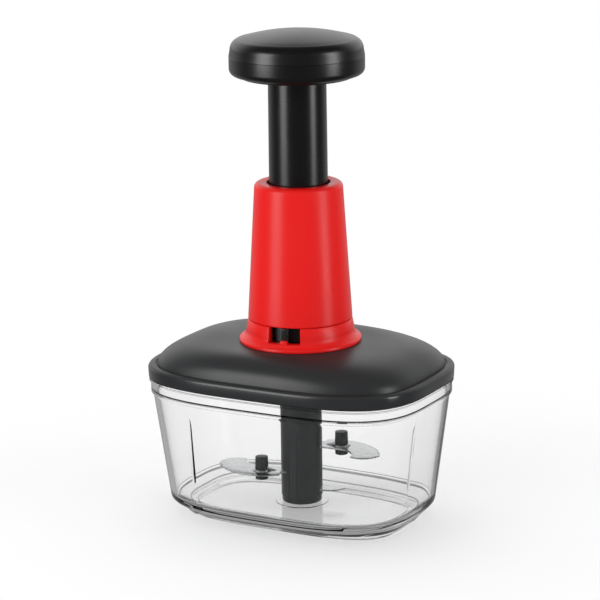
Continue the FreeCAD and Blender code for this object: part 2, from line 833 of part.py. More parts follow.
def make_knob_base():
    """Under half of the palm knob, with the socket for the tube."""
    edge_z = knob_bottom_z + knob_under_step
    floor = knob_bottom_z + tube_socket_depth + knob_floor
    inner = knob_radius - knob_wall
    socket = tube_top_radius
    corner = knob_edge_round * (1 - math.sqrt(0.5))
    return turned((socket, knob_bottom_z), (knob_under_radius, knob_bottom_z),
                  (knob_under_radius + knob_under_step / 2, edge_z), (knob_edge_radius, edge_z),
                  ((knob_radius - corner, edge_z + corner), (knob_radius, edge_z + knob_edge_round)),
                  (knob_radius - seam_chamfer / 2, knob_parting_z), (inner, knob_parting_z), (inner, floor),
                  (knob_screw_radius, floor), (knob_screw_radius, tube_end), (socket, tube_end))


def make_knob_cap():
    """Upper half of the palm knob: drafted side, rounded shoulder and shallow dome."""
    top = knob_top
    side_z = top - knob_side_top_drop
    shoulder_z1 = top - knob_shoulder_drop
    inner = knob_radius - knob_wall - knob_spigot
    roof = top - knob_shoulder_drop - knob_wall
    middle_r = knob_shoulder_radius + (knob_side_top_radius - knob_shoulder_radius) * knob_shoulder_bow_out
    middle_z = side_z + (shoulder_z1 - side_z) * knob_shoulder_bow_up
    spigot_top = knob_radius - knob_wall - seat_gap
    crown = (knob_shoulder_radius ** 2 + knob_shoulder_drop ** 2) / (2 * knob_shoulder_drop)
    crown_z = top - crown + math.sqrt(crown ** 2 - (knob_shoulder_radius / 2) ** 2)
    return turned((0, roof), (inner, roof), (inner, knob_parting_z - knob_wall),
                  (spigot_top, knob_parting_z - knob_wall), (spigot_top, knob_parting_z),
                  (knob_radius - seam_chamfer / 2, knob_parting_z), (knob_side_top_radius, side_z),
                  ((middle_r, middle_z), (knob_shoulder_radius, shoulder_z1)),
                  ((knob_shoulder_radius / 2, crown_z), (0, top)))


def make_knob_screw():
    """Screw that pulls the knob base down on the tube."""
    floor = knob_bottom_z + tube_socket_depth + knob_floor
    shank = disc(knob_screw_radius, floor - knob_screw_length, floor)
    head = disc(knob_screw_head, floor, floor + knob_screw_head_height)
    return fused(shank, head)


def make_spindle():
    """Blade spindle: pivot bore below, hex socket above, slots for the blades and the lock strip."""
    body = disc(spindle_radius, spindle_bottom + foot_ring_height, spindle_top)
    body = body.cut(disc(pin_radius + running_fit, spindle_bottom, pin_top + free_gap))
    body = body.cut(hexagon(coupling_hex + 2 * sliding_gap, spindle_top - socket_depth, spindle_top))
    for z, degrees, width, offset in blade_seats():
        slot = Part.makeBox(spindle_radius, width + 2 * running_fit, blade_thickness,
                            Vec(blade_root_radius, offset - width / 2 - running_fit, z))
        slot.rotate(ORIGIN, UP, degrees)
        body = body.cut(slot)
    return body.cut(strip_block(running_fit))


def blade_seats():
    """Height, angle, root width and root offset of each blade."""
    return [(blade_high_z, blade_high_deg, blade_root_width, blade_root_offset),
            (blade_mid_z, blade_mid_deg, blade_root_width, blade_root_offset),
            (blade_low_z, blade_low_deg, blade_low_width, 0.0)]


def strip_block(margin):
    """Straight strip let into the spindle's front."""
    z0 = spindle_bottom + foot_ring_height
    strip = Part.makeBox(strip_depth, strip_width + 2 * margin, strip_top - z0,
                         Vec(spindle_radius - strip_depth, -strip_width / 2 - margin, z0))
    strip.rotate(ORIGIN, UP, strip_deg)
    return strip


def make_blade_strip():
    """Strip that slides into the spindle after the blades and locks them."""
    return strip_block(0.0).common(disc(spindle_radius, 0, spindle_top))


def make_spindle_foot():
    """Foot ring that turns on the bowl's floor ring."""
    top = spindle_bottom + foot_ring_height
    foot_ring = ring(foot_ring_radius, pin_radius + running_fit, spindle_bottom, top)
    edges = [edge for edge in foot_ring.Edges if edge.BoundBox.XMax > pin_radius * 2]
    edges = [edge for edge in edges if edge.BoundBox.ZMax < spindle_bottom + running_fit]
    return foot_ring.makeChamfer(seam_chamfer, edges)


def blade_plate(points_and_arcs, z):
    """Flat plate from a closed run of lines and three-point arcs."""
    edges = []
    here = Vec(*points_and_arcs[0], z)
    for step in points_and_arcs[1:]:
        if isinstance(step[0], tuple):
            through = Vec(*step[0], z)
            there = Vec(*step[1], z)
            edges.append(Part.Arc(here, through, there).toShape())
        else:
            there = Vec(*step, z)
            edges.append(Part.LineSegment(here, there).toShape())
        here = there
    return Part.Face(Part.Wire(edges)).extrude(Vec(0, 0, blade_thickness))


def sabre_blade(z, degrees):
    """Broad curved blade: convex ground edge, swept tip, and a tooth where its back steps in."""
    root_near = blade_root_offset - blade_root_width / 2
    root_far = blade_root_offset + blade_root_width / 2
    neck = spindle_radius + free_gap
    tip = (math.sqrt(blade_tip_radius ** 2 - blade_sweep ** 2), -blade_sweep)
    tooth = (blade_tooth_radius, -blade_tooth)
    nick = (blade_nick_radius, -blade_nick)
    step = ((nick[0] + tooth[0]) / 2 + blade_hollow, (nick[1] + tooth[1]) / 2 + blade_hollow)
    back = ((tooth[0] + tip[0]) / 2 + blade_back_bow / 2, (tooth[1] + tip[1]) / 2 - blade_back_bow)
    belly = (blade_belly_radius, blade_belly)
    bulge = ((belly[0] + tip[0]) / 2 + blade_bulge, (belly[1] + tip[1]) / 2 + blade_bulge)
    blade = blade_plate([
        (blade_root_radius, root_near), (neck, root_near), nick, (step, tooth), (back, tip), (bulge, belly),
        (neck, blade_shoulder), (neck, root_far), (blade_root_radius, root_far),
        (blade_root_radius, root_near)], z)
    blade = grind(blade, belly, bulge, tip, z)
    blade = blade.cut(disc(peg_waist + running_fit, z, z + blade_thickness, peg_reach, peg_offset))
    blade.rotate(ORIGIN, UP, degrees)
    return blade


def grind(blade, start, through, end, z):
    """Grind the upper side of a blade along the arc through three points."""
    arc = Part.Arc(Vec(*start, z), Vec(*through, z), Vec(*end, z)).toShape().Curve
    radius = arc.Radius
    top = z + blade_thickness
    heel = top - blade_edge_depth
    around = disc(radius + blade_edge_width, heel, top, arc.Center.x, arc.Center.y)
    flank = taper(radius, radius - blade_edge_width, heel, top, arc.Center.x, arc.Center.y)
    return blade.cut(around.cut(flank))


def low_blade(z, degrees):
    """Short leaf that lifts food from the floor."""
    half = blade_low_width / 2
    shoulder = blade_low_tip - blade_low_width
    blade = blade_plate([
        (blade_root_radius, -half), (shoulder, -half),
        ((blade_low_tip - half, -half / 2), (blade_low_tip, half / 2)),
        ((shoulder, half), (spindle_radius, half)),
        (blade_root_radius, half), (blade_root_radius, -half)], z)
    blade.rotate(ORIGIN, UP, degrees)
    return blade


def make_peg(z, degrees):
    """Peg clipped through a blade, with its rim and the arm back to the spindle."""
    top = z + blade_thickness
    upper = taper(peg_radius, peg_top_radius, top, top + peg_above, peg_reach, peg_offset)
    lower = taper(peg_top_radius, peg_radius, z - peg_below, z, peg_reach, peg_offset)
    waist_pin = disc(peg_waist, z, top, peg_reach, peg_offset)
    rim_disc = disc(peg_rim_radius, top, top + peg_rim_height, peg_reach, peg_offset)
    arm = Part.makeBox(peg_reach - spindle_radius, arm_width, arm_height,
                       Vec(spindle_radius + seat_gap, peg_offset - arm_width / 2, top))
    peg = fused(upper, lower, waist_pin, rim_disc, arm)
    peg.rotate(ORIGIN, UP, degrees)
    return peg


save("bowl", make_bowl())
save("pivot_pin", make_pivot_pin())
save("lid_cover", make_lid_cover())
save("lid_inner_plate", make_lid_plate())
save("lid_seal", make_lid_seal())
save("lid_screws", make_lid_screws())
save("shaft_bush", make_shaft_bush())
save("thrust_washer", make_thrust_washer())
save("collar", make_collar())
save("housing_sleeve", make_housing_sleeve())
save("guide_tube", make_guide_tube())
save("tower_screws", make_tower_screws())
save("return_spring", make_return_spring())
save("lock_slider", make_lock_slider())
save("plunger_tube", make_plunger_tube())
save("drive_nut", make_drive_nut())
save("knob_base", make_knob_base())
save("knob_cap", make_knob_cap())
save("knob_screw", make_knob_screw())
save("twisted_shaft", make_twisted_shaft())
save("clutch_hub", make_clutch_hub())
save("clutch_pawls", make_clutch_pawls())
save("output_coupling", make_output_coupling())
save("retaining_clip", make_retaining_clip())
save("spindle", make_spindle())
save("spindle_foot", make_spindle_foot())
save("blade_lock_strip", make_blade_strip())
save("blade_high", sabre_blade(blade_high_z, blade_high_deg))
save("blade_mid", sabre_blade(blade_mid_z, blade_mid_deg))
save("blade_low", low_blade(blade_low_z, blade_low_deg))
save("peg_high", make_peg(blade_high_z, blade_high_deg))
save("peg_mid", make_peg(blade_mid_z, blade_mid_deg))
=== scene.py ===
"""Plunger food chopper: finished pieces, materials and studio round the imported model."""
import math

import bmesh
import bpy
from bpy.props import FloatProperty, FloatVectorProperty, PointerProperty
from mathutils import Matrix, Quaternion, Vector


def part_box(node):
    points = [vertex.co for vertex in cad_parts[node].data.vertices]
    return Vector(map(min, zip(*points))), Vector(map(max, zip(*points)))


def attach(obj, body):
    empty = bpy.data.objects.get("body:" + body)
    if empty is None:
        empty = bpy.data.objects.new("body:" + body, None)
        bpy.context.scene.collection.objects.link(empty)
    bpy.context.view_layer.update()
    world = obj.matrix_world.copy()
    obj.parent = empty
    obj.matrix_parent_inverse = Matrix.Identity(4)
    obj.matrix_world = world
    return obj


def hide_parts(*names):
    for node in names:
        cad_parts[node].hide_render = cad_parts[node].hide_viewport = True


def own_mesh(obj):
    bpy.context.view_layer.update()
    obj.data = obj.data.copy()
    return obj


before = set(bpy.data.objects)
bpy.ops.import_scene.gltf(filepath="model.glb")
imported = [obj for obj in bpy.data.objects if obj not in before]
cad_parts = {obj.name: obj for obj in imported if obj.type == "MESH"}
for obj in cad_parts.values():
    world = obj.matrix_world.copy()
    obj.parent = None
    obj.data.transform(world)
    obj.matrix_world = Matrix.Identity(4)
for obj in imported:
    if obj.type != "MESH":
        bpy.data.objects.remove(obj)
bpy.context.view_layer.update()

bl_info = {
    "name": "Plunger Food Chopper",
    "version": (1, 0, 0),
    "blender": (4, 5, 0),
    "location": "3D View > Sidebar > Chopper",
    "description": "Models the chopper's visible pieces, their finishes and the studio",
    "category": "Object",
}

MM = 0.001
# Powers of the bowl's oblong outlines: 2 is an ellipse, and more is squarer
RIM_POWER = 3.44
WAIST_POWER = 3.1
FOOT_POWER = 3.7
# Powers of the lid's dome: how far out and how steeply it falls, and how late its outline turns round
DOME_REACH_POWER = 3.16
DOME_FALL_POWER = 1.79
DOME_TURN_POWER = 0.773
# Shares of the way from the ledge to the deck at which the dome has a ring
DOME_SHARES = (0.012, 0.035, 0.07, 0.11, 0.16, 0.22, 0.29, 0.37, 0.46, 0.56, 0.67, 0.79, 0.9, 1.0)
PLASTIC_IOR = 1.54
LAMP_AIM_Z = 0.13
# Sides of the turned and oblong pieces, large to small
OBLONG_STEPS = 192
ROUND_STEPS = 128
HUB_STEPS = 96
PIN_STEPS = 48
RIB_STEPS = 24
# Painted shade on the bowl's fillets, drawn as dark lines in its colour: height, half width and depth of
# shade
FILLET_PAINTED_SHADE = ((84.2, 0.3, 0.8), (78.6, 0.4, 0.75), (76.6, 0.25, 0.6), (11.4, 0.3, 0.85), (8.2, 0.35, 0.85),
                (1.2, 0.3, 0.6))
# Painted shade of the clear bowl at its fillets and seen edge on
EDGE_PAINTED_SHADE = "#424546"
# A bowl rib from foot to head: height and radius
RIB_PROFILE = ((27.0, 0.4), (28.5, 1.2), (32.0, 1.4), (64.0, 1.4), (68.0, 0.9), (69.5, 0.3))


def linear(hex_value):
    """Linear colour from an sRGB hex value."""
    channels = [int(hex_value[i:i + 2], 16) / 255 for i in (1, 3, 5)]
    return tuple(c / 12.92 if c <= 0.04045 else ((c + 0.055) / 1.055) ** 2.4 for c in channels) + (1.0,)


class ChopperBowlSizes(bpy.types.PropertyGroup):
    """Sizes of the clear bowl, in millimetres."""
    rim_half_x: FloatProperty(name="Rim half length",
                              description="Half length of the lid's rim", default=88.6)
    rim_half_y: FloatProperty(name="Rim half width", description="Half width of the lid's rim", default=64.0)
    waist_half_x: FloatProperty(name="Waist half length",
                                description="Half length over the bevel", default=79.0)
    waist_half_y: FloatProperty(name="Waist half width",
                                description="Half width over the bevel", default=55.4)
    foot_half_x: FloatProperty(name="Foot half length", description="Half length of the foot", default=70.0)
    foot_half_y: FloatProperty(name="Foot half width", description="Half width of the foot", default=40.5)
    shoulder_z: FloatProperty(name="Shoulder height", description="Step under the band", default=76.7)
    seat_z: FloatProperty(name="Lid seat height", description="Top of the flange under the lid", default=86.0)
    height: FloatProperty(name="Height", description="Top of the upstand in the lid", default=90.5)
    wall: FloatProperty(name="Wall", description="Thickness of the wall", default=2.5)
    floor_z: FloatProperty(name="Floor height", description="Top of the floor", default=7.3)
    recess_z: FloatProperty(name="Recess height", description="Underside of the floor", default=4.5)


class ChopperLidSizes(bpy.types.PropertyGroup):
    """Sizes of the domed lid, in millimetres."""
    skirt_bottom: FloatProperty(name="Skirt bottom", description="Lower edge of the lid", default=86.2)
    skirt_top: FloatProperty(name="Skirt top", description="Ledge round the dome", default=94.2)
    dome_inset: FloatProperty(name="Dome inset", description="Width of the ledge", default=4.8)
    dome_rise: FloatProperty(name="Dome rise", description="Height of the dome", default=14.5)
    wall: FloatProperty(name="Wall", description="Thickness of the dome", default=2.2)


class ChopperTowerSizes(bpy.types.PropertyGroup):
    """Sizes of the collar, the sleeve and the plunger tube, in millimetres."""
    flare_radius: FloatProperty(name="Flare radius", description="Radius of the collar's foot", default=36.6)
    neck_radius: FloatProperty(name="Neck radius", description="Radius at the seam", default=31.2)
    seam_z: FloatProperty(name="Seam height", description="Seam of collar and sleeve", default=122.7)
    sleeve_radius: FloatProperty(name="Sleeve radius",
                                 description="Radius under the top rounding", default=26.4)
    sleeve_top: FloatProperty(name="Sleeve top", description="Height of the sleeve's top", default=204.8)
    hole_radius: FloatProperty(name="Hole radius", description="Hole round the tube", default=18.9)
    window_deg: FloatProperty(name="Window angle",
                              description="Middle of the window, in degrees", default=-80.0)
    window_half: FloatProperty(name="Window half", description="Half the window, in degrees", default=17.9)
    tube_radius: FloatProperty(name="Tube radius", description="Radius of the plunger tube", default=17.46)


class ChopperKnobSizes(bpy.types.PropertyGroup):
    """Sizes of the palm knob, in millimetres."""
    radius: FloatProperty(name="Radius", description="Largest radius", default=40.0)
    bottom_z: FloatProperty(name="Underside", description="Height of the underside", default=267.3)
    height: FloatProperty(name="Height", description="Height over all", default=27.8)
    parting: FloatProperty(name="Parting", description="Parting line over the underside", default=12.7)


class ChopperColours(bpy.types.PropertyGroup):
    """Colours of the finishes."""
    lid: FloatVectorProperty(name="Lid", description="Charcoal lid", subtype="COLOR", size=4,
                             default=linear("#2B2C2D"))
    black: FloatVectorProperty(name="Black", description="Black mouldings", subtype="COLOR", size=4,
                               default=linear("#111112"))
    spindle: FloatVectorProperty(name="Spindle", description="Grey-black spindle", subtype="COLOR", size=4,
                                 default=linear("#262728"))
    red: FloatVectorProperty(name="Red", description="Red mouldings", subtype="COLOR", size=4,
                             default=linear("#E01614"))
    clear: FloatVectorProperty(name="Clear", description="Clear bowl", subtype="COLOR", size=4,
                               default=linear("#FFFFFF"))
    steel: FloatVectorProperty(name="Steel", description="Blade steel", subtype="COLOR", size=4,
                               default=linear("#E4E6E7"))
    white: FloatVectorProperty(name="White", description="Natural acetal", subtype="COLOR", size=4,
                               default=linear("#E6E4DE"))
    floor: FloatVectorProperty(name="Floor", description="Studio floor", subtype="COLOR", size=4,
                               default=linear("#F6F6F6"))


class ChopperStage(bpy.types.PropertyGroup):
    """Camera place, in millimetres and degrees."""
    azimuth: FloatProperty(name="Azimuth", description="Camera angle round the object", default=28.5)
    distance: FloatProperty(name="Distance", description="Level distance of the camera", default=1576.97)
    eye_z: FloatProperty(name="Eye height", description="Height of the camera", default=524.24)
    target_z: FloatProperty(name="Target height", description="Height the camera looks at", default=132.48)
    roll: FloatProperty(name="Roll", description="Roll of the camera", default=-0.8)
    lens: FloatProperty(name="Lens", description="Focal length on a 36 mm sensor", default=163.04)


# Materials

def node(tree, kind, attributes=None, values=None, links=None):
    """Add a shader node with its settings, socket values and links."""
    made = tree.nodes.new(kind)
    for name, value in (attributes or {}).items():
        setattr(made, name, value)
    for socket, value in (values or {}).items():
        made.inputs[socket].default_value = value
    for socket, source in (links or {}).items():
        tree.links.new(source, made.inputs[socket])
    return made


def new_material(name, values):
    """Material with one Principled shader, its node tree and the shader."""
    material = bpy.data.materials.new(name)
    material.use_nodes = True
    tree = material.node_tree
    shader = tree.nodes["Principled BSDF"]
    for socket, value in values.items():
        shader.inputs[socket].default_value = value
    return material, tree, shader


def shaded(colour, factor):
    """A colour made lighter or darker."""
    return tuple(min(1.0, c * factor) for c in colour[:3]) + (1.0,)


def moulded_grain(tree, shader, colour, grain, depth, rough, spread, fleck):
    """Fine grain in the bump, with slow changes of gloss and slight flecks of shade.

    Grain and depth are in millimetres. Rough is the middle roughness, and spread is how far it wanders.
    """
    wander = 35 * MM
    place = node(tree, "ShaderNodeTexCoord").outputs["Object"]
    fine = node(tree, "ShaderNodeTexNoise", values={"Scale": 1 / (grain * MM), "Detail": 3.0},
                links={"Vector": place}).outputs["Fac"]
    slow = node(tree, "ShaderNodeTexNoise", values={"Scale": 1 / wander, "Detail": 2.0},
                links={"Vector": place}).outputs["Fac"]
    gloss = node(tree, "ShaderNodeMapRange", links={"Value": slow}, values={
        "From Min": 0.3, "From Max": 0.7, "To Min": rough - spread, "To Max": rough + spread})
    tree.links.new(gloss.outputs["Result"], shader.inputs["Roughness"])
    tint = node(tree, "ShaderNodeMix", {"data_type": "RGBA"},
                {6: shaded(colour, 1 - fleck), 7: shaded(colour, 1 + fleck)}, {0: fine})
    tree.links.new(tint.outputs[2], shader.inputs["Base Color"])
    bump = node(tree, "ShaderNodeBump", values={"Strength": 0.4, "Distance": depth * MM},
                links={"Height": fine})
    tree.links.new(bump.outputs["Normal"], shader.inputs["Normal"])


def moulded_material(name, colour, grain, depth, rough, spread, fleck, sockets):
    """Opaque moulded or turned surface; sockets holds further values of the shader."""
    material, tree, shader = new_material(name, sockets)
    moulded_grain(tree, shader, colour, grain, depth, rough, spread, fleck)
    return material


def plastic(level):
    """Shader values of an opaque plastic with a level of gloss."""
    return {"IOR": PLASTIC_IOR, "Specular IOR Level": level}


def make_materials():
    """Every finish of the chopper, by the name the operators use."""
    colours = bpy.context.scene.chopper_colours
    made = {}
    # ABS lid from an eroded mould: its grain is drawn at 1.4 mm, coarser than real, to break up the sheen
    made["lid"] = moulded_material("charcoal_moulded_abs", colours.lid, grain=1.4, depth=0.012,
                                   rough=0.38, spread=0.03, fleck=0.05, sockets=plastic(0.4))
    # The lid's skirt comes from the polished part of the mould: the same shade, glossier and so darker
    made["skirt"] = moulded_material("polished_charcoal_abs", colours.lid, grain=2.0, depth=0.004,
                                     rough=0.2, spread=0.02, fleck=0.03, sockets=plastic(0.4))
    # ABS knob and lock: near black, satin, with soft bands where the lamps stand
    made["knob"] = moulded_material("black_moulded_abs", colours.black, grain=1.4, depth=0.012,
                                    rough=0.29, spread=0.03, fleck=0.06, sockets=plastic(0.6))
    # Acetal plunger tube: smoother and a little waxy, so its bands are tighter
    made["tube"] = moulded_material("black_turned_acetal", colours.black, grain=2.0, depth=0.006,
                                    rough=0.28, spread=0.02, fleck=0.04, sockets=plastic(0.55))
    # ABS spindle and pegs: grey-black, dulled by washing
    made["spindle"] = moulded_material("grey_black_moulded_abs", colours.spindle, grain=1.2, depth=0.012,
                                       rough=0.34, spread=0.04, fleck=0.06, sockets=plastic(0.32))
    # Red ABS: saturated and satin, with pale bands
    made["red"] = moulded_material("red_moulded_abs", colours.red, grain=1.4, depth=0.01,
                                   rough=0.3, spread=0.03, fleck=0.02, sockets=plastic(0.27))
    # Uncoloured acetal of the nut and clutch: milky, waxy
    made["white"] = moulded_material("natural_moulded_acetal", colours.white, grain=1.6, depth=0.008,
                                     rough=0.36, spread=0.03, fleck=0.02, sockets={"IOR": 1.48})
    # Zinc-plated and drawn steel of screws, pin, spring and shaft: bright, a little uneven in its gloss
    made["wire"] = moulded_material("drawn_plated_steel", linear("#B4B6B8"), grain=1.0, depth=0.004,
                                    rough=0.24, spread=0.05, fleck=0.05, sockets={"Metallic": 1.0})
    # Silicone seal: soft, dull, milky
    made["seal"] = moulded_material("moulded_silicone", linear("#D4D6D6"), grain=1.2, depth=0.01,
                                    rough=0.5, spread=0.04, fleck=0.02, sockets={"IOR": 1.41})
    made["clear"] = clear_moulded_copolyester(colours.clear)
    made["blade"] = ground_stainless_sheet(colours.steel)
    return made


def clear_moulded_copolyester(colour):
    """Copolyester from a polished mould: clear, with faint flow waves, and shade painted into its colour at
    fillets and edge on.

    Shadow rays pass almost unstopped, because the real bowl throws a pale shadow.
    """
    material, tree, shader = new_material("clear_moulded_copolyester", {
        "IOR": 1.4, "Roughness": 0.015, "Transmission Weight": 1.0})
    wave_length = 22 * MM
    place = node(tree, "ShaderNodeTexCoord").outputs["Object"]
    waves = node(tree, "ShaderNodeTexNoise", values={"Scale": 1 / wave_length, "Detail": 1.0},
                 links={"Vector": place}).outputs["Fac"]
    bump = node(tree, "ShaderNodeBump", values={"Strength": 0.2, "Distance": 0.04 * MM},
                links={"Height": waves})
    tree.links.new(bump.outputs["Normal"], shader.inputs["Normal"])
    # Painted shade: the colour goes to dark grey where the wall is seen edge on and in bands at the fillets'
    # heights
    facing = node(tree, "ShaderNodeLayerWeight", values={"Blend": 0.5}).outputs["Facing"]
    edge = node(tree, "ShaderNodeMapRange", {"interpolation_type": "SMOOTHSTEP"},
                {"From Min": 0.76, "From Max": 1.0}, {"Value": facing})
    height = node(tree, "ShaderNodeSeparateXYZ", links={0: place}).outputs["Z"]
    dark = edge.outputs["Result"]
    for line, half, share in FILLET_PAINTED_SHADE:
        fillet = node(tree, "ShaderNodeMath", {"operation": "COMPARE"}, {1: line * MM, 2: half * MM},
                      {0: height})
        dark = node(tree, "ShaderNodeMath", {"operation": "MULTIPLY_ADD"}, {1: share},
                    {0: fillet.outputs[0], 2: dark}).outputs[0]
    tint = node(tree, "ShaderNodeMix", {"data_type": "RGBA"}, {6: colour, 7: linear(EDGE_PAINTED_SHADE)}, {0: dark})
    tree.links.new(tint.outputs[2], shader.inputs["Base Color"])
    path = node(tree, "ShaderNodeLightPath")
    through = node(tree, "ShaderNodeBsdfTransparent", values={"Color": (0.98, 0.985, 0.985, 1.0)})
    mix = node(tree, "ShaderNodeMixShader", links={0: path.outputs["Is Shadow Ray"], 1: shader.outputs[0],
                                                   2: through.outputs[0]})
    tree.links.new(mix.outputs[0], tree.nodes["Material Output"].inputs["Surface"])
    return material


def ground_stainless_sheet(colour):
    """Stainless sheet, belt-ground: bright, with fine streaks in its gloss."""
    material, tree, shader = new_material("ground_stainless_sheet", {"Metallic": 1.0})
    along, across = 1 / (8 * MM), 1 / (0.6 * MM)
    place = node(tree, "ShaderNodeTexCoord").outputs["Object"]
    stretch = node(tree, "ShaderNodeMapping", values={"Scale": (along, across, along)},
                   links={"Vector": place})
    streaks = node(tree, "ShaderNodeTexNoise", values={"Scale": 1.0, "Detail": 4.0},
                   links={"Vector": stretch.outputs["Vector"]}).outputs["Fac"]
    gloss = node(tree, "ShaderNodeMapRange", links={"Value": streaks}, values={
        "From Min": 0.3, "From Max": 0.7, "To Min": 0.22, "To Max": 0.36})
    tree.links.new(gloss.outputs["Result"], shader.inputs["Roughness"])
    tint = node(tree, "ShaderNodeMix", {"data_type": "RGBA"}, {6: shaded(colour, 0.85), 7: colour},
                {0: streaks})
    tree.links.new(tint.outputs[2], shader.inputs["Base Color"])
    return material


# Mesh tools

def start_from(piece=None):
    """Leave edit mode, deselect everything and make a piece active."""
    if bpy.context.object and bpy.context.object.mode != "OBJECT":
        bpy.ops.object.mode_set(mode="OBJECT")
    bpy.ops.object.select_all(action="DESELECT")
    if piece:
        piece.select_set(True)
        bpy.context.view_layer.objects.active = piece


def reach(angle, half_x, half_y, power):
    """Distance from the middle of an oblong outline to its edge."""
    across = abs(math.cos(angle) / half_x) ** power + abs(math.sin(angle) / half_y) ** power
    return across ** (-1 / power)


def place_ring(piece, ring):
    """Put the selected ring on an outline: half_x, half_y, power, z and, where it isn't 0, its middle."""
    half_x, half_y, power, z, *middle = ring
    x, y = middle or (0.0, 0.0)
    mesh = bmesh.from_edit_mesh(piece.data)
    chosen = [vertex for vertex in mesh.verts if vertex.select]
    centre = sum((vertex.co for vertex in chosen), Vector()) / len(chosen)
    for vertex in chosen:
        angle = math.atan2(vertex.co.y - centre.y, vertex.co.x - centre.x)
        distance = reach(angle, half_x, half_y, power)
        vertex.co = Vector((x + distance * math.cos(angle), y + distance * math.sin(angle), z)) * MM
    bmesh.update_edit_mesh(piece.data)


def ringed(name, rings, steps=OBLONG_STEPS, hollow=False):
    """Solid pulled ring by ring; a hollow one comes back to its first ring."""
    start_from()
    bpy.ops.mesh.primitive_circle_add(vertices=steps, radius=1, fill_type="NOTHING" if hollow else "NGON")
    piece = bpy.context.object
    piece.name = piece.data.name = name
    bpy.ops.object.mode_set(mode="EDIT")
    bpy.ops.mesh.select_all(action="SELECT")
    place_ring(piece, rings[0])
    for ring in rings[1:] + (rings[:1] if hollow else []):
        bpy.ops.mesh.extrude_region_move()
        place_ring(piece, ring)
    bpy.ops.mesh.select_all(action="SELECT")
    bpy.ops.mesh.remove_doubles(threshold=0.002 * MM)
    bpy.ops.mesh.normals_make_consistent(inside=False)
    bpy.ops.object.mode_set(mode="OBJECT")
    return piece


def circle(radius, z):
    """Round outline."""
    return (radius, radius, 2.0, z)


def turned(name, profile, steps=ROUND_STEPS, hollow=False):
    """Turned solid from (radius, z) points."""
    return ringed(name, [circle(radius, z) for radius, z in profile], steps, hollow)


def arc_points(start, through, end, steps):
    """Points after start on the arc through three (radius, z) points."""
    a, b, c = Vector(start), Vector(through), Vector(end)
    d = 2 * (a.x * (b.y - c.y) + b.x * (c.y - a.y) + c.x * (a.y - b.y))
    squares = [p.x ** 2 + p.y ** 2 for p in (a, b, c)]
    cx = (squares[0] * (b.y - c.y) + squares[1] * (c.y - a.y) + squares[2] * (a.y - b.y)) / d
    cy = (squares[0] * (c.x - b.x) + squares[1] * (a.x - c.x) + squares[2] * (b.x - a.x)) / d
    centre = Vector((cx, cy))
    first = math.atan2(a.y - cy, a.x - cx)
    swing = (a - centre).angle_signed(b - centre) + (b - centre).angle_signed(c - centre)
    radius = (a - centre).length
    angles = [first - swing * k / steps for k in range(1, steps + 1)]
    return [(cx + radius * math.cos(angle), cy + radius * math.sin(angle)) for angle in angles]


def soften(piece, width, angle=30.0, segments=3):
    """Round the sharp edges by a width in millimetres and shade the rest smooth."""
    start_from(piece)
    if width:
        bevel = piece.modifiers.new("edge_round", "BEVEL")
        bevel.width = width * MM
        bevel.segments = segments
        bevel.limit_method = "ANGLE"
        bevel.angle_limit = math.radians(angle)
        bpy.ops.object.modifier_apply(modifier=bevel.name)
    bpy.ops.object.shade_smooth_by_angle(angle=math.radians(angle))


def carve(piece, other, operation="DIFFERENCE"):
    """Cut a piece with another, or join the other to it."""
    start_from(piece)
    boolean = piece.modifiers.new("carve", "BOOLEAN")
    boolean.operation = operation
    boolean.solver = "EXACT"
    boolean.object = other
    bpy.ops.object.modifier_apply(modifier=boolean.name)
    bpy.data.objects.remove(other, do_unlink=True)


def wedge(inner, outer, z0, z1, mid_deg, half_deg):
    """Block between two radii, two heights and two angles, spun from a flat face."""
    start_from()
    bpy.ops.mesh.primitive_plane_add(size=1)
    piece = bpy.context.object
    bpy.ops.object.mode_set(mode="EDIT")
    mesh = bmesh.from_edit_mesh(piece.data)
    start = Matrix.Rotation(math.radians(mid_deg - half_deg), 3, "Z")
    for vertex in mesh.verts:
        radius = outer if vertex.co.x > 0 else inner
        vertex.co = start @ Vector((radius, 0, z1 if vertex.co.y > 0 else z0)) * MM
    bmesh.update_edit_mesh(piece.data)
    bpy.ops.mesh.select_all(action="SELECT")
    bpy.ops.mesh.spin(steps=12, angle=-math.radians(2 * half_deg), center=(0, 0, 0), axis=(0, 0, 1))
    bpy.ops.mesh.select_all(action="SELECT")
    bpy.ops.mesh.normals_make_consistent(inside=False)
    bpy.ops.object.mode_set(mode="OBJECT")
    return piece


def dress(piece, body, slot, material, *nodes):
    """Ride on a body, take a finish and stand for CAD nodes."""
    piece.data.materials.clear()
    piece.data.materials.append(MATERIALS[material])
    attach(piece, body)
    if nodes:
        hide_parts(*nodes)
    return piece


def smooth_copy(node_name, name, width=0.0, angle=20.0):
    """Copy of a CAD node, merged, its edges rounded by a width and its round faces shaded smooth."""
    start_from()
    piece = bpy.data.objects.new(name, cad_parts[node_name].data.copy())
    piece.data.name = name
    bpy.context.scene.collection.objects.link(piece)
    start_from(piece)
    bpy.ops.object.mode_set(mode="EDIT")
    bpy.ops.mesh.select_all(action="SELECT")
    bpy.ops.mesh.remove_doubles(threshold=0.001 * MM)
    bpy.ops.object.mode_set(mode="OBJECT")
    soften(piece, width, angle, 2)
    return piece


def dress_copies(body, rows):
    """Dress a smooth copy of each node; a row is the node's name, its slot and its finish."""
    for node_name, slot, material in rows:
        dress(smooth_copy(node_name, node_name + "_finish"), body, slot, material, node_name)


def rim(inset, z):
    """Outline of the lid's rim, moved in."""
    sizes = bpy.context.scene.chopper_bowl
    return (sizes.rim_half_x - inset, sizes.rim_half_y - inset, RIM_POWER, z)


def waist(inset, z):
    """Outline of the bowl over its bevel, moved in."""
    sizes = bpy.context.scene.chopper_bowl
    return (sizes.waist_half_x - inset, sizes.waist_half_y - inset, WAIST_POWER, z)


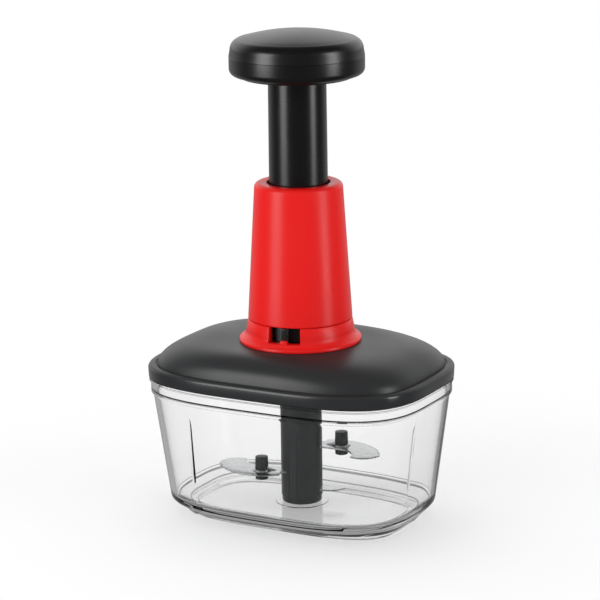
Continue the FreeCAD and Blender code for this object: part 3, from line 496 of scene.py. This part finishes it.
def foot(inset, z):
    """Outline of the bowl's foot, moved in."""
    sizes = bpy.context.scene.chopper_bowl
    return (sizes.foot_half_x - inset, sizes.foot_half_y - inset, FOOT_POWER, z)


def between(low, high, z):
    """Ring on the straight wall between two rings."""
    share = (z - low[3]) / (high[3] - low[3])
    return tuple(a + (b - a) * share for a, b in zip(low, high))


def dome(share, drop):
    """Outline across the lid's dome, from its foot at share 0 to the flat deck at share 1."""
    bowl = bpy.context.scene.chopper_bowl
    lid = bpy.context.scene.chopper_lid
    neck = bpy.context.scene.chopper_tower.flare_radius
    half_x = bowl.rim_half_x - lid.dome_inset
    half_y = bowl.rim_half_y - lid.dome_inset
    half_x += (neck - half_x) * share
    half_y += (neck - half_y) * share
    rise = lid.dome_rise * (1 - (1 - share) ** DOME_REACH_POWER) ** (1 / DOME_FALL_POWER)
    power = RIM_POWER + (2 - RIM_POWER) * share ** DOME_TURN_POWER
    return (half_x - drop, half_y - drop, power, lid.skirt_top + rise - drop)


class CHOPPER_OT_bowl(bpy.types.Operator):
    """Model the clear bowl with its foot, bevel, band, flange and inside ribs"""
    bl_idname = "chopper.bowl"
    bl_label = "Clear bowl"

    def execute(self, context):
        b = context.scene.chopper_bowl
        step = b.shoulder_z + 1.9
        wall_inset, bevel_top = 2.5, 13.5
        outer = (waist(0, 11.4), rim(wall_inset, b.shoulder_z - 0.7))
        inner = (waist(2.5, 14.2), rim(4.9, step - 0.5))
        foot_ring = [foot(8.0, b.recess_z), foot(5.6, b.recess_z), foot(5.0, 0.4), foot(4.6, 0),
                     foot(0.9, 0), foot(0.2, 0.5), foot(0.0, 1.4)]
        bevel = [waist(1.6, 8.6), waist(0.5, 9.9), outer[0]]
        wall = [between(*outer, 12.4), between(*outer, b.shoulder_z - 1.7), outer[1]]
        band = [rim(2.3, b.shoulder_z - 0.2), rim(1.9, b.shoulder_z), rim(1.6, b.shoulder_z + 0.1),
                rim(1.4, b.shoulder_z + 0.4), rim(1.3, b.shoulder_z + 0.9), rim(1.3, b.shoulder_z + 1.5)]
        flange = [rim(1.3, 83.4), rim(1.3, 84.0), rim(0.9, 84.2), rim(0.4, 84.4), rim(0.4, b.seat_z)]
        upstand = [rim(2.0, b.seat_z), rim(2.0, b.height - 0.5), rim(2.4, b.height),
                   rim(3.8, b.height), rim(4.2, b.height - 0.5)]
        inside = [rim(4.2, step + 1.1), rim(4.2, step + 0.5), rim(4.5, step), inner[1],
                  between(*inner, step - 1.5), between(*inner, 15.2), inner[0],
                  waist(2.8, 12.9), waist(3.9, 11.4)]
        floor = [foot(1.4, 8.6), foot(2.4, 7.6), foot(3.6, b.floor_z), foot(5.0, b.floor_z)]
        bowl = ringed("clear_bowl", foot_ring + bevel + wall + band + flange + upstand + inside + floor)
        front_rib, end_rib = Vector((-44.0, -1.0)), Vector((1.0, -16.0))
        for axis, spot, low, high in ((1, front_rib, b.waist_half_y, b.rim_half_y),
                                      (0, end_rib, b.waist_half_x, b.rim_half_x)):
            points = []
            for z, radius in RIB_PROFILE:
                place = spot.copy()
                place[axis] *= (low - b.wall
                                + (high - wall_inset - low) * (z - bevel_top) / (b.shoulder_z - bevel_top))
                points.append((*circle(radius, z), *place))
            carve(bowl, ringed("bowl_rib", points, RIB_STEPS), "UNION")
        ring_radius, boss_radius, pin_radius = 16.0, 8.0, 3.0
        ring = turned("floor_ring", [
            (ring_radius, 6.8), (ring_radius, 7.6), (ring_radius - 0.2, 7.8), (boss_radius, 7.8),
            (boss_radius, 7.4)], HUB_STEPS)
        carve(bowl, ring, "UNION")
        carve(bowl, turned("pin_hole", [(pin_radius, 4.3), (pin_radius, 9.0)], PIN_STEPS))
        soften(bowl, 0, 28)
        dress(bowl, "bowl_unit", "clear_plastic", "clear", "bowl")
        pin = smooth_copy("pivot_pin", "pin_steel")
        dress(pin, "bowl_unit", "steel", "wire", "pivot_pin")
        return {"FINISHED"}


class CHOPPER_OT_lid(bpy.types.Operator):
    """Model the charcoal lid with its skirt, ledge, groove and dome"""
    bl_idname = "chopper.lid"
    bl_label = "Domed lid"

    def execute(self, context):
        lid = context.scene.chopper_lid
        top = lid.skirt_top
        deck = top + lid.dome_rise
        shaft_hole, deck_ring, plug_inset, plug_top, skirt_wall = 6.05, 20, 7.0, 92.6, 1.2
        skirt = [rim(0.6, lid.skirt_bottom), rim(0.22, lid.skirt_bottom + 0.4), rim(0, top - 2.0)]
        rounding = [rim(0.1, top - 1.5), rim(0.3, top - 1.0), rim(0.7, top - 0.4), rim(1.2, top - 0.1)]
        ledge = [rim(1.8, top), rim(3.9, top), rim(4.1, top - 0.5), rim(4.7, top - 0.5),
                 rim(lid.dome_inset, top)]
        outside = [dome(share, 0) for share in DOME_SHARES]
        hole = [circle(deck_ring, deck), circle(shaft_hole, deck), circle(shaft_hole, deck - lid.wall)]
        inside = [dome(share, lid.wall) for share in reversed(DOME_SHARES[3:])]
        plug = [rim(plug_inset, top), rim(plug_inset, plug_top), rim(skirt_wall, plug_top),
                rim(skirt_wall, lid.skirt_bottom)]
        cover = ringed("lid_shell", skirt + rounding + ledge + outside + hole + inside + plug, hollow=True)
        hub_bore, hub_radius, hub_foot, hub_head = 17, 19, 91.7, deck - 1
        hub = turned("clutch_hub_wall", [(hub_bore, hub_foot), (hub_radius, hub_foot), (hub_radius, hub_head),
                                         (hub_bore, hub_head)], HUB_STEPS, hollow=True)
        carve(cover, hub, "UNION")
        soften(cover, 0, 32)
        dress(cover, "lid_unit", "lid_plastic", "lid", "lid_cover")
        # The upright faces under the ledge's rounding take the skirt's polished finish
        cover.data.materials.append(MATERIALS["skirt"])
        for face in cover.data.polygons:
            if face.center.z < (top - 1.2) * MM and abs(face.normal.z) < 0.7:
                face.material_index = 1
        dress_copies("lid_unit", (
            ("lid_inner_plate", "lid_plastic", "lid"), ("lid_seal", "seal_rubber", "seal"),
            ("lid_screws", "steel", "wire"), ("shaft_bush", "white_plastic", "white")))
        return {"FINISHED"}


class CHOPPER_OT_tower(bpy.types.Operator):
    """Model the flared collar with its window and the tapered sleeve"""
    bl_idname = "chopper.tower"
    bl_label = "Collar and sleeve"

    def execute(self, context):
        t = context.scene.chopper_tower
        deck = context.scene.chopper_lid.skirt_top + context.scene.chopper_lid.dome_rise
        flare, neck, seam = t.flare_radius, t.neck_radius, t.seam_z
        bore, groove, sill = 28.2, 1.2, deck + 4.4
        foot_edge = [(bore, deck), (36.3, deck), (flare, deck + 0.3), (flare, deck + 1.5),
                     (36.3, deck + 2.0), (35.9, deck + 2.25), (35.5, deck + 2.4)]
        sweep = arc_points((35.5, deck + 2.4), (33.4, deck + 4.1), (32.3, deck + 7.6), 12)
        seam_groove = [(neck, seam - 0.5), (neck - 0.15, seam - 0.35), (neck - groove, seam - 0.3),
                       (neck - groove, seam), (bore, seam)]
        collar = turned("flared_collar", foot_edge + sweep + seam_groove, hollow=True)
        cut_from, cut_to = 14, 44
        carve(collar, wedge(cut_from, cut_to, sill, seam + 2, t.window_deg, t.window_half))
        soften(collar, 0.35, 40, 2)
        dress(collar, "lid_unit", "red_plastic", "red", "collar")
        pip = window_pip(t, sill)
        dress(pip, "lid_unit", "red_plastic", "red")
        top, radius, hole = t.sleeve_top, t.sleeve_radius, t.hole_radius
        shell, under = 2.2, top - 2.6
        outside = [(bore, seam), (neck - 0.5, seam), (neck - 0.15, seam + 0.15), (neck, seam + 0.5),
                   (neck - 0.03, seam + 1), (radius, top - 3)]
        shoulder = arc_points((radius, top - 3), (radius - 0.88, top - 0.88), (radius - 3, top), 8)
        mouth = [(hole + 0.5, top), (hole + 0.15, top - 0.15), (hole, top - 0.5), (hole, under)]
        inside = [(radius - shell, under), (neck - shell, seam + shell), (bore, seam + shell)]
        sleeve = turned("tapered_sleeve", outside + shoulder + mouth + inside, hollow=True)
        soften(sleeve, 0, 40)
        dress(sleeve, "lid_unit", "red_plastic", "red", "housing_sleeve")
        dress_copies("lid_unit", (
            ("guide_tube", "white_plastic", "white"), ("tower_screws", "steel", "wire"),
            ("thrust_washer", "white_plastic", "white")))
        lock = smooth_copy("lock_slider", "thumb_lock", 0.35)
        dress(lock, "lock", "black_plastic", "knob", "lock_slider")
        return {"FINISHED"}


def window_pip(t, z):
    """Pointer pip on the window's sill, its edges rounded."""
    root, stand_out, width, height = 28.5, 1.5, 4.2, 4.0
    start_from()
    bpy.ops.mesh.primitive_cube_add(size=1)
    pip = bpy.context.object
    pip.name = pip.data.name = "window_pip"
    turn = Matrix.Rotation(math.radians(t.window_deg), 3, "Z")
    bpy.ops.object.mode_set(mode="EDIT")
    mesh = bmesh.from_edit_mesh(pip.data)
    for vertex in mesh.verts:
        x = t.neck_radius + stand_out if vertex.co.x > 0 else root
        vertex.co = turn @ Vector((x, vertex.co.y * width, z + vertex.co.z * height)) * MM
    bmesh.update_edit_mesh(pip.data)
    bpy.ops.object.mode_set(mode="OBJECT")
    soften(pip, 0.4, 30, 3)
    return pip


class CHOPPER_OT_plunger(bpy.types.Operator):
    """Model the plunger tube, the palm knob and the return spring"""
    bl_idname = "chopper.plunger"
    bl_label = "Plunger and knob"

    def execute(self, context):
        t = context.scene.chopper_tower
        k = context.scene.chopper_knob
        bottom, top = k.bottom_z, k.bottom_z + k.height
        parting = bottom + k.parting
        radius, bore, spigot, screw_hole = t.tube_radius, 15.26, 17.15, 2.0
        tube_foot, stop_radius, stop_foot, stop_head = 170.9, 22.3, 199.0, 202.0
        socket, socket_top = 17.2, bottom + 2.7
        tube = turned("plunger_tube_skin", [
            (bore, tube_foot), (radius, tube_foot), (radius, stop_foot), (stop_radius, stop_foot),
            (stop_radius, stop_head), (radius, stop_head), (socket, bottom), (spigot, bottom),
            (spigot, socket_top), (screw_hole, socket_top), (screw_hole, bottom - 0.3),
            (bore, bottom - 0.3)], hollow=True)
        notch_radius, notch_half = 20.95, 5.5
        carve(tube, wedge(notch_radius, 40, stop_foot - 1, stop_head + 1, t.window_deg, notch_half))
        soften(tube, 0, 30)
        dress(tube, "plunger", "black_plastic", "tube", "plunger_tube")
        edge = bottom + 1.5
        hollow_radius, hollow_foot, bead = 37.4, bottom + 5.3, 0.15
        underside = [(socket, bottom), (32.6, bottom), (33.0, bottom + 0.3), (33.75, edge - 0.2),
                     (34.0, edge), (36, edge)]
        corner = arc_points((36, edge), (k.radius - 1.23, edge + 1.23), (k.radius, edge + 4.2), 8)
        inside = [(k.radius, parting - bead), (k.radius - bead, parting), (hollow_radius, parting),
                  (hollow_radius, hollow_foot), (screw_hole, hollow_foot), (screw_hole, socket_top),
                  (socket, socket_top)]
        base = turned("knob_base_skin", underside + corner + inside, hollow=True)
        soften(base, 0, 32)
        dress(base, "plunger", "black_plastic", "knob", "knob_base")
        side_radius, side = 39.3, top - 11.1
        near_axis, roof = 0.02, top - 7.3
        cap_inner, lip_radius, lip_foot = 35.8, 37.3, parting - 2.6
        under_cap = [(near_axis, roof), (cap_inner, roof), (cap_inner, lip_foot), (lip_radius, lip_foot),
                     (lip_radius, parting)]
        flank = [(k.radius - bead, parting), (k.radius, parting + bead), (side_radius, side)]
        shoulder = arc_points((side_radius, side), (37.92, side + 3.97), (34.0, top - 4.7), 14)
        crown = arc_points((33.2, top - 4.55), (17, top - 1.13), (near_axis, top - 0.02), 18)
        cap = turned("knob_cap_skin", under_cap + flank + shoulder + [(33.7, top - 4.8)] + crown)
        soften(cap, 0, 32)
        dress(cap, "plunger", "black_plastic", "knob", "knob_cap")
        dress_copies("plunger", (
            ("knob_screw", "steel", "wire"), ("drive_nut", "white_plastic", "white")))
        spring = return_spring()
        dress(spring, "lid_unit", "steel", "wire", "return_spring")
        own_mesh(spring)
        return {"FINISHED"}


def return_spring():
    """Round wire wound six turns by a screw about the axis, its ends closed."""
    wire_radius, coil_radius, first_z, pitch, turns, steps = 1.0, 20, 111.8, 14.35, 6, 48
    start_from()
    bpy.ops.mesh.primitive_circle_add(vertices=12, radius=wire_radius * MM, fill_type="NOTHING")
    spring = bpy.context.object
    spring.name = spring.data.name = "return_spring_wire"
    bpy.ops.object.mode_set(mode="EDIT")
    mesh = bmesh.from_edit_mesh(spring.data)
    for vertex in mesh.verts:
        vertex.co = Vector((coil_radius * MM + vertex.co.x, 0, vertex.co.y + first_z * MM))
    bmesh.update_edit_mesh(spring.data)
    bpy.ops.object.mode_set(mode="OBJECT")
    wind = spring.modifiers.new("wind", "SCREW")
    wind.screw_offset = pitch * MM
    wind.iterations = turns
    wind.steps = wind.render_steps = steps
    bpy.ops.object.modifier_apply(modifier=wind.name)
    bpy.ops.object.mode_set(mode="EDIT")
    bpy.ops.mesh.select_all(action="SELECT")
    bpy.ops.mesh.fill_holes(sides=0)
    bpy.ops.mesh.select_all(action="SELECT")
    bpy.ops.mesh.normals_make_consistent(inside=False)
    bpy.ops.object.mode_set(mode="OBJECT")
    soften(spring, 0, 40)
    return spring


def strap_to_blade(piece, blade_name):
    """Press a peg's arm down to a thin steel strap on its blade, and give its rim the blade's finish."""
    stem_reach, rim_reach, arm_reach = 4.3 * MM, 5.7 * MM, 9 * MM
    rim_height, strap_height, arm_share = 0.7 * MM, 0.1 * MM, 0.8
    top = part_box(blade_name)[1][2]
    high = [vertex.co for vertex in piece.data.vertices if vertex.co.z > top + 6 * MM]
    middle = sum(high, Vector()) / len(high)
    piece.data.materials.append(MATERIALS["blade"])
    for face in piece.data.polygons:
        out = (face.center - middle).xy.length
        if out > stem_reach and face.center.z > top - 0.1 * MM:
            face.material_index = 1
    for vertex in piece.data.vertices:
        out = (vertex.co - middle).xy
        if out.length > stem_reach and vertex.co.z > top:
            vertex.co.z = min(vertex.co.z, top + (rim_height if out.length < rim_reach else strap_height))
        if out.length > arm_reach:
            vertex.co.xy = middle.xy + arm_share * out


class CHOPPER_OT_blades(bpy.types.Operator):
    """Finish the spindle, its foot and strip, the blades and the pegs"""
    bl_idname = "chopper.blades"
    bl_label = "Spindle and blades"

    def execute(self, context):
        for node_name, slot, material, width in (
                ("spindle", "black_plastic", "spindle", 0.3),
                ("spindle_foot", "black_plastic", "spindle", 0.3),
                ("blade_lock_strip", "black_plastic", "spindle", 0.3),
                ("blade_high", "blade_steel", "blade", 0),
                ("blade_mid", "blade_steel", "blade", 0),
                ("blade_low", "blade_steel", "blade", 0),
                ("peg_high", "black_plastic", "spindle", 0.3),
                ("peg_mid", "black_plastic", "spindle", 0.3)):
            piece = smooth_copy(node_name, node_name + "_finish", width)
            dress(piece, "blade_unit", slot, material, node_name)
            if node_name in ("peg_high", "peg_mid"):
                strap_to_blade(piece, node_name.replace("peg", "blade"))
        dress_copies("drive", (
            ("twisted_shaft", "steel", "wire"), ("clutch_hub", "white_plastic", "white"),
            ("clutch_pawls", "steel", "wire"), ("output_coupling", "white_plastic", "white"),
            ("retaining_clip", "steel", "wire")))
        return {"FINISHED"}


# Studio

class CHOPPER_OT_stage(bpy.types.Operator):
    """Set the floor, the soft lamps, the world and the camera"""
    bl_idname = "chopper.stage"
    bl_label = "Studio"

    def execute(self, context):
        make_floor(context.scene.chopper_colours.floor)
        make_world(context.scene)
        azimuth = math.radians(context.scene.chopper_stage.azimuth)
        soft_lamp("left_soft_box", azimuth - math.radians(57), distance=1.5, height=0.47, width=0.7,
                  tall=1.17, power=12)
        soft_lamp("right_soft_box", azimuth + math.radians(63), distance=1.5, height=0.47, width=0.5,
                  tall=1.17, power=8.8)
        overhead = soft_lamp("top_soft_box", azimuth - math.radians(150), distance=0.45, height=1.6,
                             width=1.3, tall=1.3, power=9)
        overhead.visible_glossy = False
        make_camera(context.scene)
        context.scene.view_settings.view_transform = "Standard"
        return {"FINISHED"}


def make_floor(colour):
    """Pale floor that keeps the shadow, fades into the white background and stays out of the gloss."""
    radius, fade_from, fade_to, near_share = 0.6, 0.12, 0.36, 0.4
    start_from()
    bpy.ops.mesh.primitive_circle_add(vertices=96, radius=radius, fill_type="NGON")
    floor = bpy.context.object
    floor.name = floor.data.name = "studio_floor"
    floor.data.transform(Matrix.Translation((0, 0, -0.05 * MM)))
    material, tree, shader = new_material("matt_paper_sweep", {
        "Roughness": 0.9, "Specular IOR Level": 0.0, "Base Color": colour})
    place = node(tree, "ShaderNodeTexCoord").outputs["Object"]
    far = node(tree, "ShaderNodeVectorMath", {"operation": "LENGTH"}, links={0: place})
    fade = node(tree, "ShaderNodeMapRange", {"interpolation_type": "SMOOTHSTEP"},
                {"From Min": fade_from, "From Max": fade_to, "To Min": near_share},
                {"Value": far.outputs["Value"]})
    white = node(tree, "ShaderNodeEmission", values={"Color": (1, 1, 1, 1), "Strength": 1.0})
    sweep = node(tree, "ShaderNodeMixShader", links={0: fade.outputs["Result"], 1: shader.outputs[0],
                                                     2: white.outputs[0]})
    gloss = node(tree, "ShaderNodeLightPath").outputs["Glossy Depth"]
    clear = node(tree, "ShaderNodeBsdfTransparent")
    mix = node(tree, "ShaderNodeMixShader", links={0: gloss, 1: sweep.outputs[0], 2: clear.outputs[0]})
    tree.links.new(mix.outputs[0], tree.nodes["Material Output"].inputs["Surface"])
    floor.data.materials.append(material)
    floor.visible_glossy = False


def make_world(scene):
    """Plain white for the camera, and for gloss a white room with a dark side and a dark ceiling."""
    world = bpy.data.worlds.new("white_room")
    scene.world = world
    world.use_nodes = True
    tree = world.node_tree
    path = node(tree, "ShaderNodeLightPath")
    direction = node(tree, "ShaderNodeTexCoord").outputs["Generated"]
    height = node(tree, "ShaderNodeSeparateXYZ", links={0: direction}).outputs["Z"]
    azimuth = math.radians(scene.chopper_stage.azimuth)
    # Gloss: white behind the object, dark on the camera's side, dimmer below and dark overhead
    sweep = node(tree, "ShaderNodeVectorMath", {"operation": "DOT_PRODUCT"},
                 {1: (-math.sin(azimuth), math.cos(azimuth), 0)}, {0: direction}).outputs["Value"]
    behind = node(tree, "ShaderNodeMapRange", {"interpolation_type": "SMOOTHSTEP"},
                  {"From Min": 0.1, "From Max": 0.75, "To Min": 0.07, "To Max": 1.0}, {"Value": sweep})
    level = node(tree, "ShaderNodeMapRange", {"interpolation_type": "SMOOTHSTEP"},
                 {"From Min": -0.1, "From Max": 0.1, "To Min": 0.4, "To Max": 1.0}, {"Value": height})
    wall = node(tree, "ShaderNodeMath", {"operation": "MULTIPLY"},
                links={0: behind.outputs["Result"], 1: level.outputs["Result"]})
    ceiling = node(tree, "ShaderNodeMapRange", {"interpolation_type": "SMOOTHSTEP"},
                   {"From Min": 0.45, "From Max": 0.8, "To Min": 1.0, "To Max": 0.12}, {"Value": height})
    gloss = node(tree, "ShaderNodeMath", {"operation": "MULTIPLY"},
                 links={0: wall.outputs[0], 1: ceiling.outputs["Result"]})
    # Other light: a share of the white; rays through the clear bowl see it whole, but dimmer overhead
    through = node(tree, "ShaderNodeMapRange", {}, {"From Min": 0.12, "To Min": 0.55},
                   {"Value": ceiling.outputs["Result"]})
    lit = node(tree, "ShaderNodeMix", {"data_type": "FLOAT"}, {2: 0.6},
               {0: path.outputs["Is Transmission Ray"], 3: through.outputs["Result"]})
    # Gloss behind the clear wall: the dark side is raised, and less so behind a second wall
    deeper = node(tree, "ShaderNodeMapRange", {},
                  {"From Min": 2.0, "From Max": 4.0, "To Min": 0.35, "To Max": 0.24},
                  {"Value": path.outputs["Transmission Depth"]})
    seen_through = node(tree, "ShaderNodeMath", {"operation": "MINIMUM"},
                        links={0: path.outputs["Transmission Depth"], 1: deeper.outputs["Result"]})
    softened = node(tree, "ShaderNodeMath", {"operation": "MAXIMUM"},
                    links={0: gloss.outputs[0], 1: seen_through.outputs[0]})
    mirrored = node(tree, "ShaderNodeMix", {"data_type": "FLOAT"}, {},
                    {0: path.outputs["Glossy Depth"], 2: lit.outputs[0], 3: softened.outputs[0]})
    strength = node(tree, "ShaderNodeMix", {"data_type": "FLOAT"}, {3: 1.0},
                    {0: path.outputs["Is Camera Ray"], 2: mirrored.outputs[0]})
    background = tree.nodes["Background"]
    background.inputs["Color"].default_value = (1, 1, 1, 1)
    tree.links.new(strength.outputs[0], background.inputs["Strength"])


def soft_lamp(name, azimuth, distance, height, width, tall, power):
    """Soft box that faces the object from an angle round it, faint in gloss behind the clear bowl."""
    lamp = bpy.data.lights.new(name, "AREA")
    lamp.shape = "RECTANGLE"
    lamp.size = width
    lamp.size_y = tall
    lamp.energy = power
    lamp.use_nodes = True
    path = node(lamp.node_tree, "ShaderNodeLightPath")
    inside = node(lamp.node_tree, "ShaderNodeMath", {"operation": "MULTIPLY", "use_clamp": True},
                  links={0: path.outputs["Glossy Depth"], 1: path.outputs["Transmission Depth"]})
    faint = node(lamp.node_tree, "ShaderNodeMapRange", {}, {"To Min": 1.0, "To Max": 0.1},
                 {"Value": inside.outputs[0]})
    lamp.node_tree.links.new(faint.outputs["Result"], lamp.node_tree.nodes["Emission"].inputs["Strength"])
    holder = bpy.data.objects.new(name, lamp)
    bpy.context.scene.collection.objects.link(holder)
    holder.location = (distance * math.sin(azimuth), -distance * math.cos(azimuth), height)
    aim = Vector((0, 0, LAMP_AIM_Z))
    holder.rotation_euler = (aim - holder.location).to_track_quat("-Z", "Y").to_euler()
    return holder


def make_camera(scene):
    """Camera at the photograph's angle."""
    s = scene.chopper_stage
    aside, sensor, near = 0.0785, 36, 0.05
    camera = bpy.data.objects.new("photo_camera", bpy.data.cameras.new("photo_camera"))
    scene.collection.objects.link(camera)
    azimuth = math.radians(s.azimuth)
    camera.location = Vector((math.sin(azimuth) * s.distance, -math.cos(azimuth) * s.distance, s.eye_z)) * MM
    aim = Vector((-aside * math.cos(azimuth), -aside * math.sin(azimuth), s.target_z)) * MM
    look = (aim - camera.location).to_track_quat("-Z", "Y")
    camera.rotation_euler = (look @ Quaternion((0, 0, 1), math.radians(s.roll))).to_euler()
    camera.data.lens = s.lens
    camera.data.sensor_width = sensor
    camera.data.clip_start = near
    scene.camera = camera


class CHOPPER_PT_panel(bpy.types.Panel):
    """Buttons that model the chopper"""
    bl_label = "Plunger food chopper"
    bl_idname = "CHOPPER_PT_panel"
    bl_space_type = "VIEW_3D"
    bl_region_type = "UI"
    bl_category = "Chopper"

    def draw(self, context):
        for operator in OPERATORS:
            self.layout.operator(operator.bl_idname)


GROUPS = {"chopper_bowl": ChopperBowlSizes, "chopper_lid": ChopperLidSizes,
          "chopper_tower": ChopperTowerSizes, "chopper_knob": ChopperKnobSizes,
          "chopper_colours": ChopperColours, "chopper_stage": ChopperStage}
OPERATORS = (CHOPPER_OT_bowl, CHOPPER_OT_lid, CHOPPER_OT_tower, CHOPPER_OT_plunger, CHOPPER_OT_blades,
             CHOPPER_OT_stage)
MATERIALS = {}


def register():
    """Register the size groups, the operators and the panel."""
    for name, group in GROUPS.items():
        bpy.utils.register_class(group)
        setattr(bpy.types.Scene, name, PointerProperty(type=group))
    for operator in OPERATORS:
        bpy.utils.register_class(operator)
    bpy.utils.register_class(CHOPPER_PT_panel)


def unregister():
    """Take the classes out again."""
    bpy.utils.unregister_class(CHOPPER_PT_panel)
    for operator in reversed(OPERATORS):
        bpy.utils.unregister_class(operator)
    for name, group in GROUPS.items():
        delattr(bpy.types.Scene, name)
        bpy.utils.unregister_class(group)


def main():
    """Register the classes, make the finishes and model every piece in order."""
    register()
    MATERIALS.update(make_materials())
    bpy.ops.chopper.bowl()
    bpy.ops.chopper.lid()
    bpy.ops.chopper.tower()
    bpy.ops.chopper.plunger()
    bpy.ops.chopper.blades()
    bpy.ops.chopper.stage()


if __name__ == "__main__":
    main()
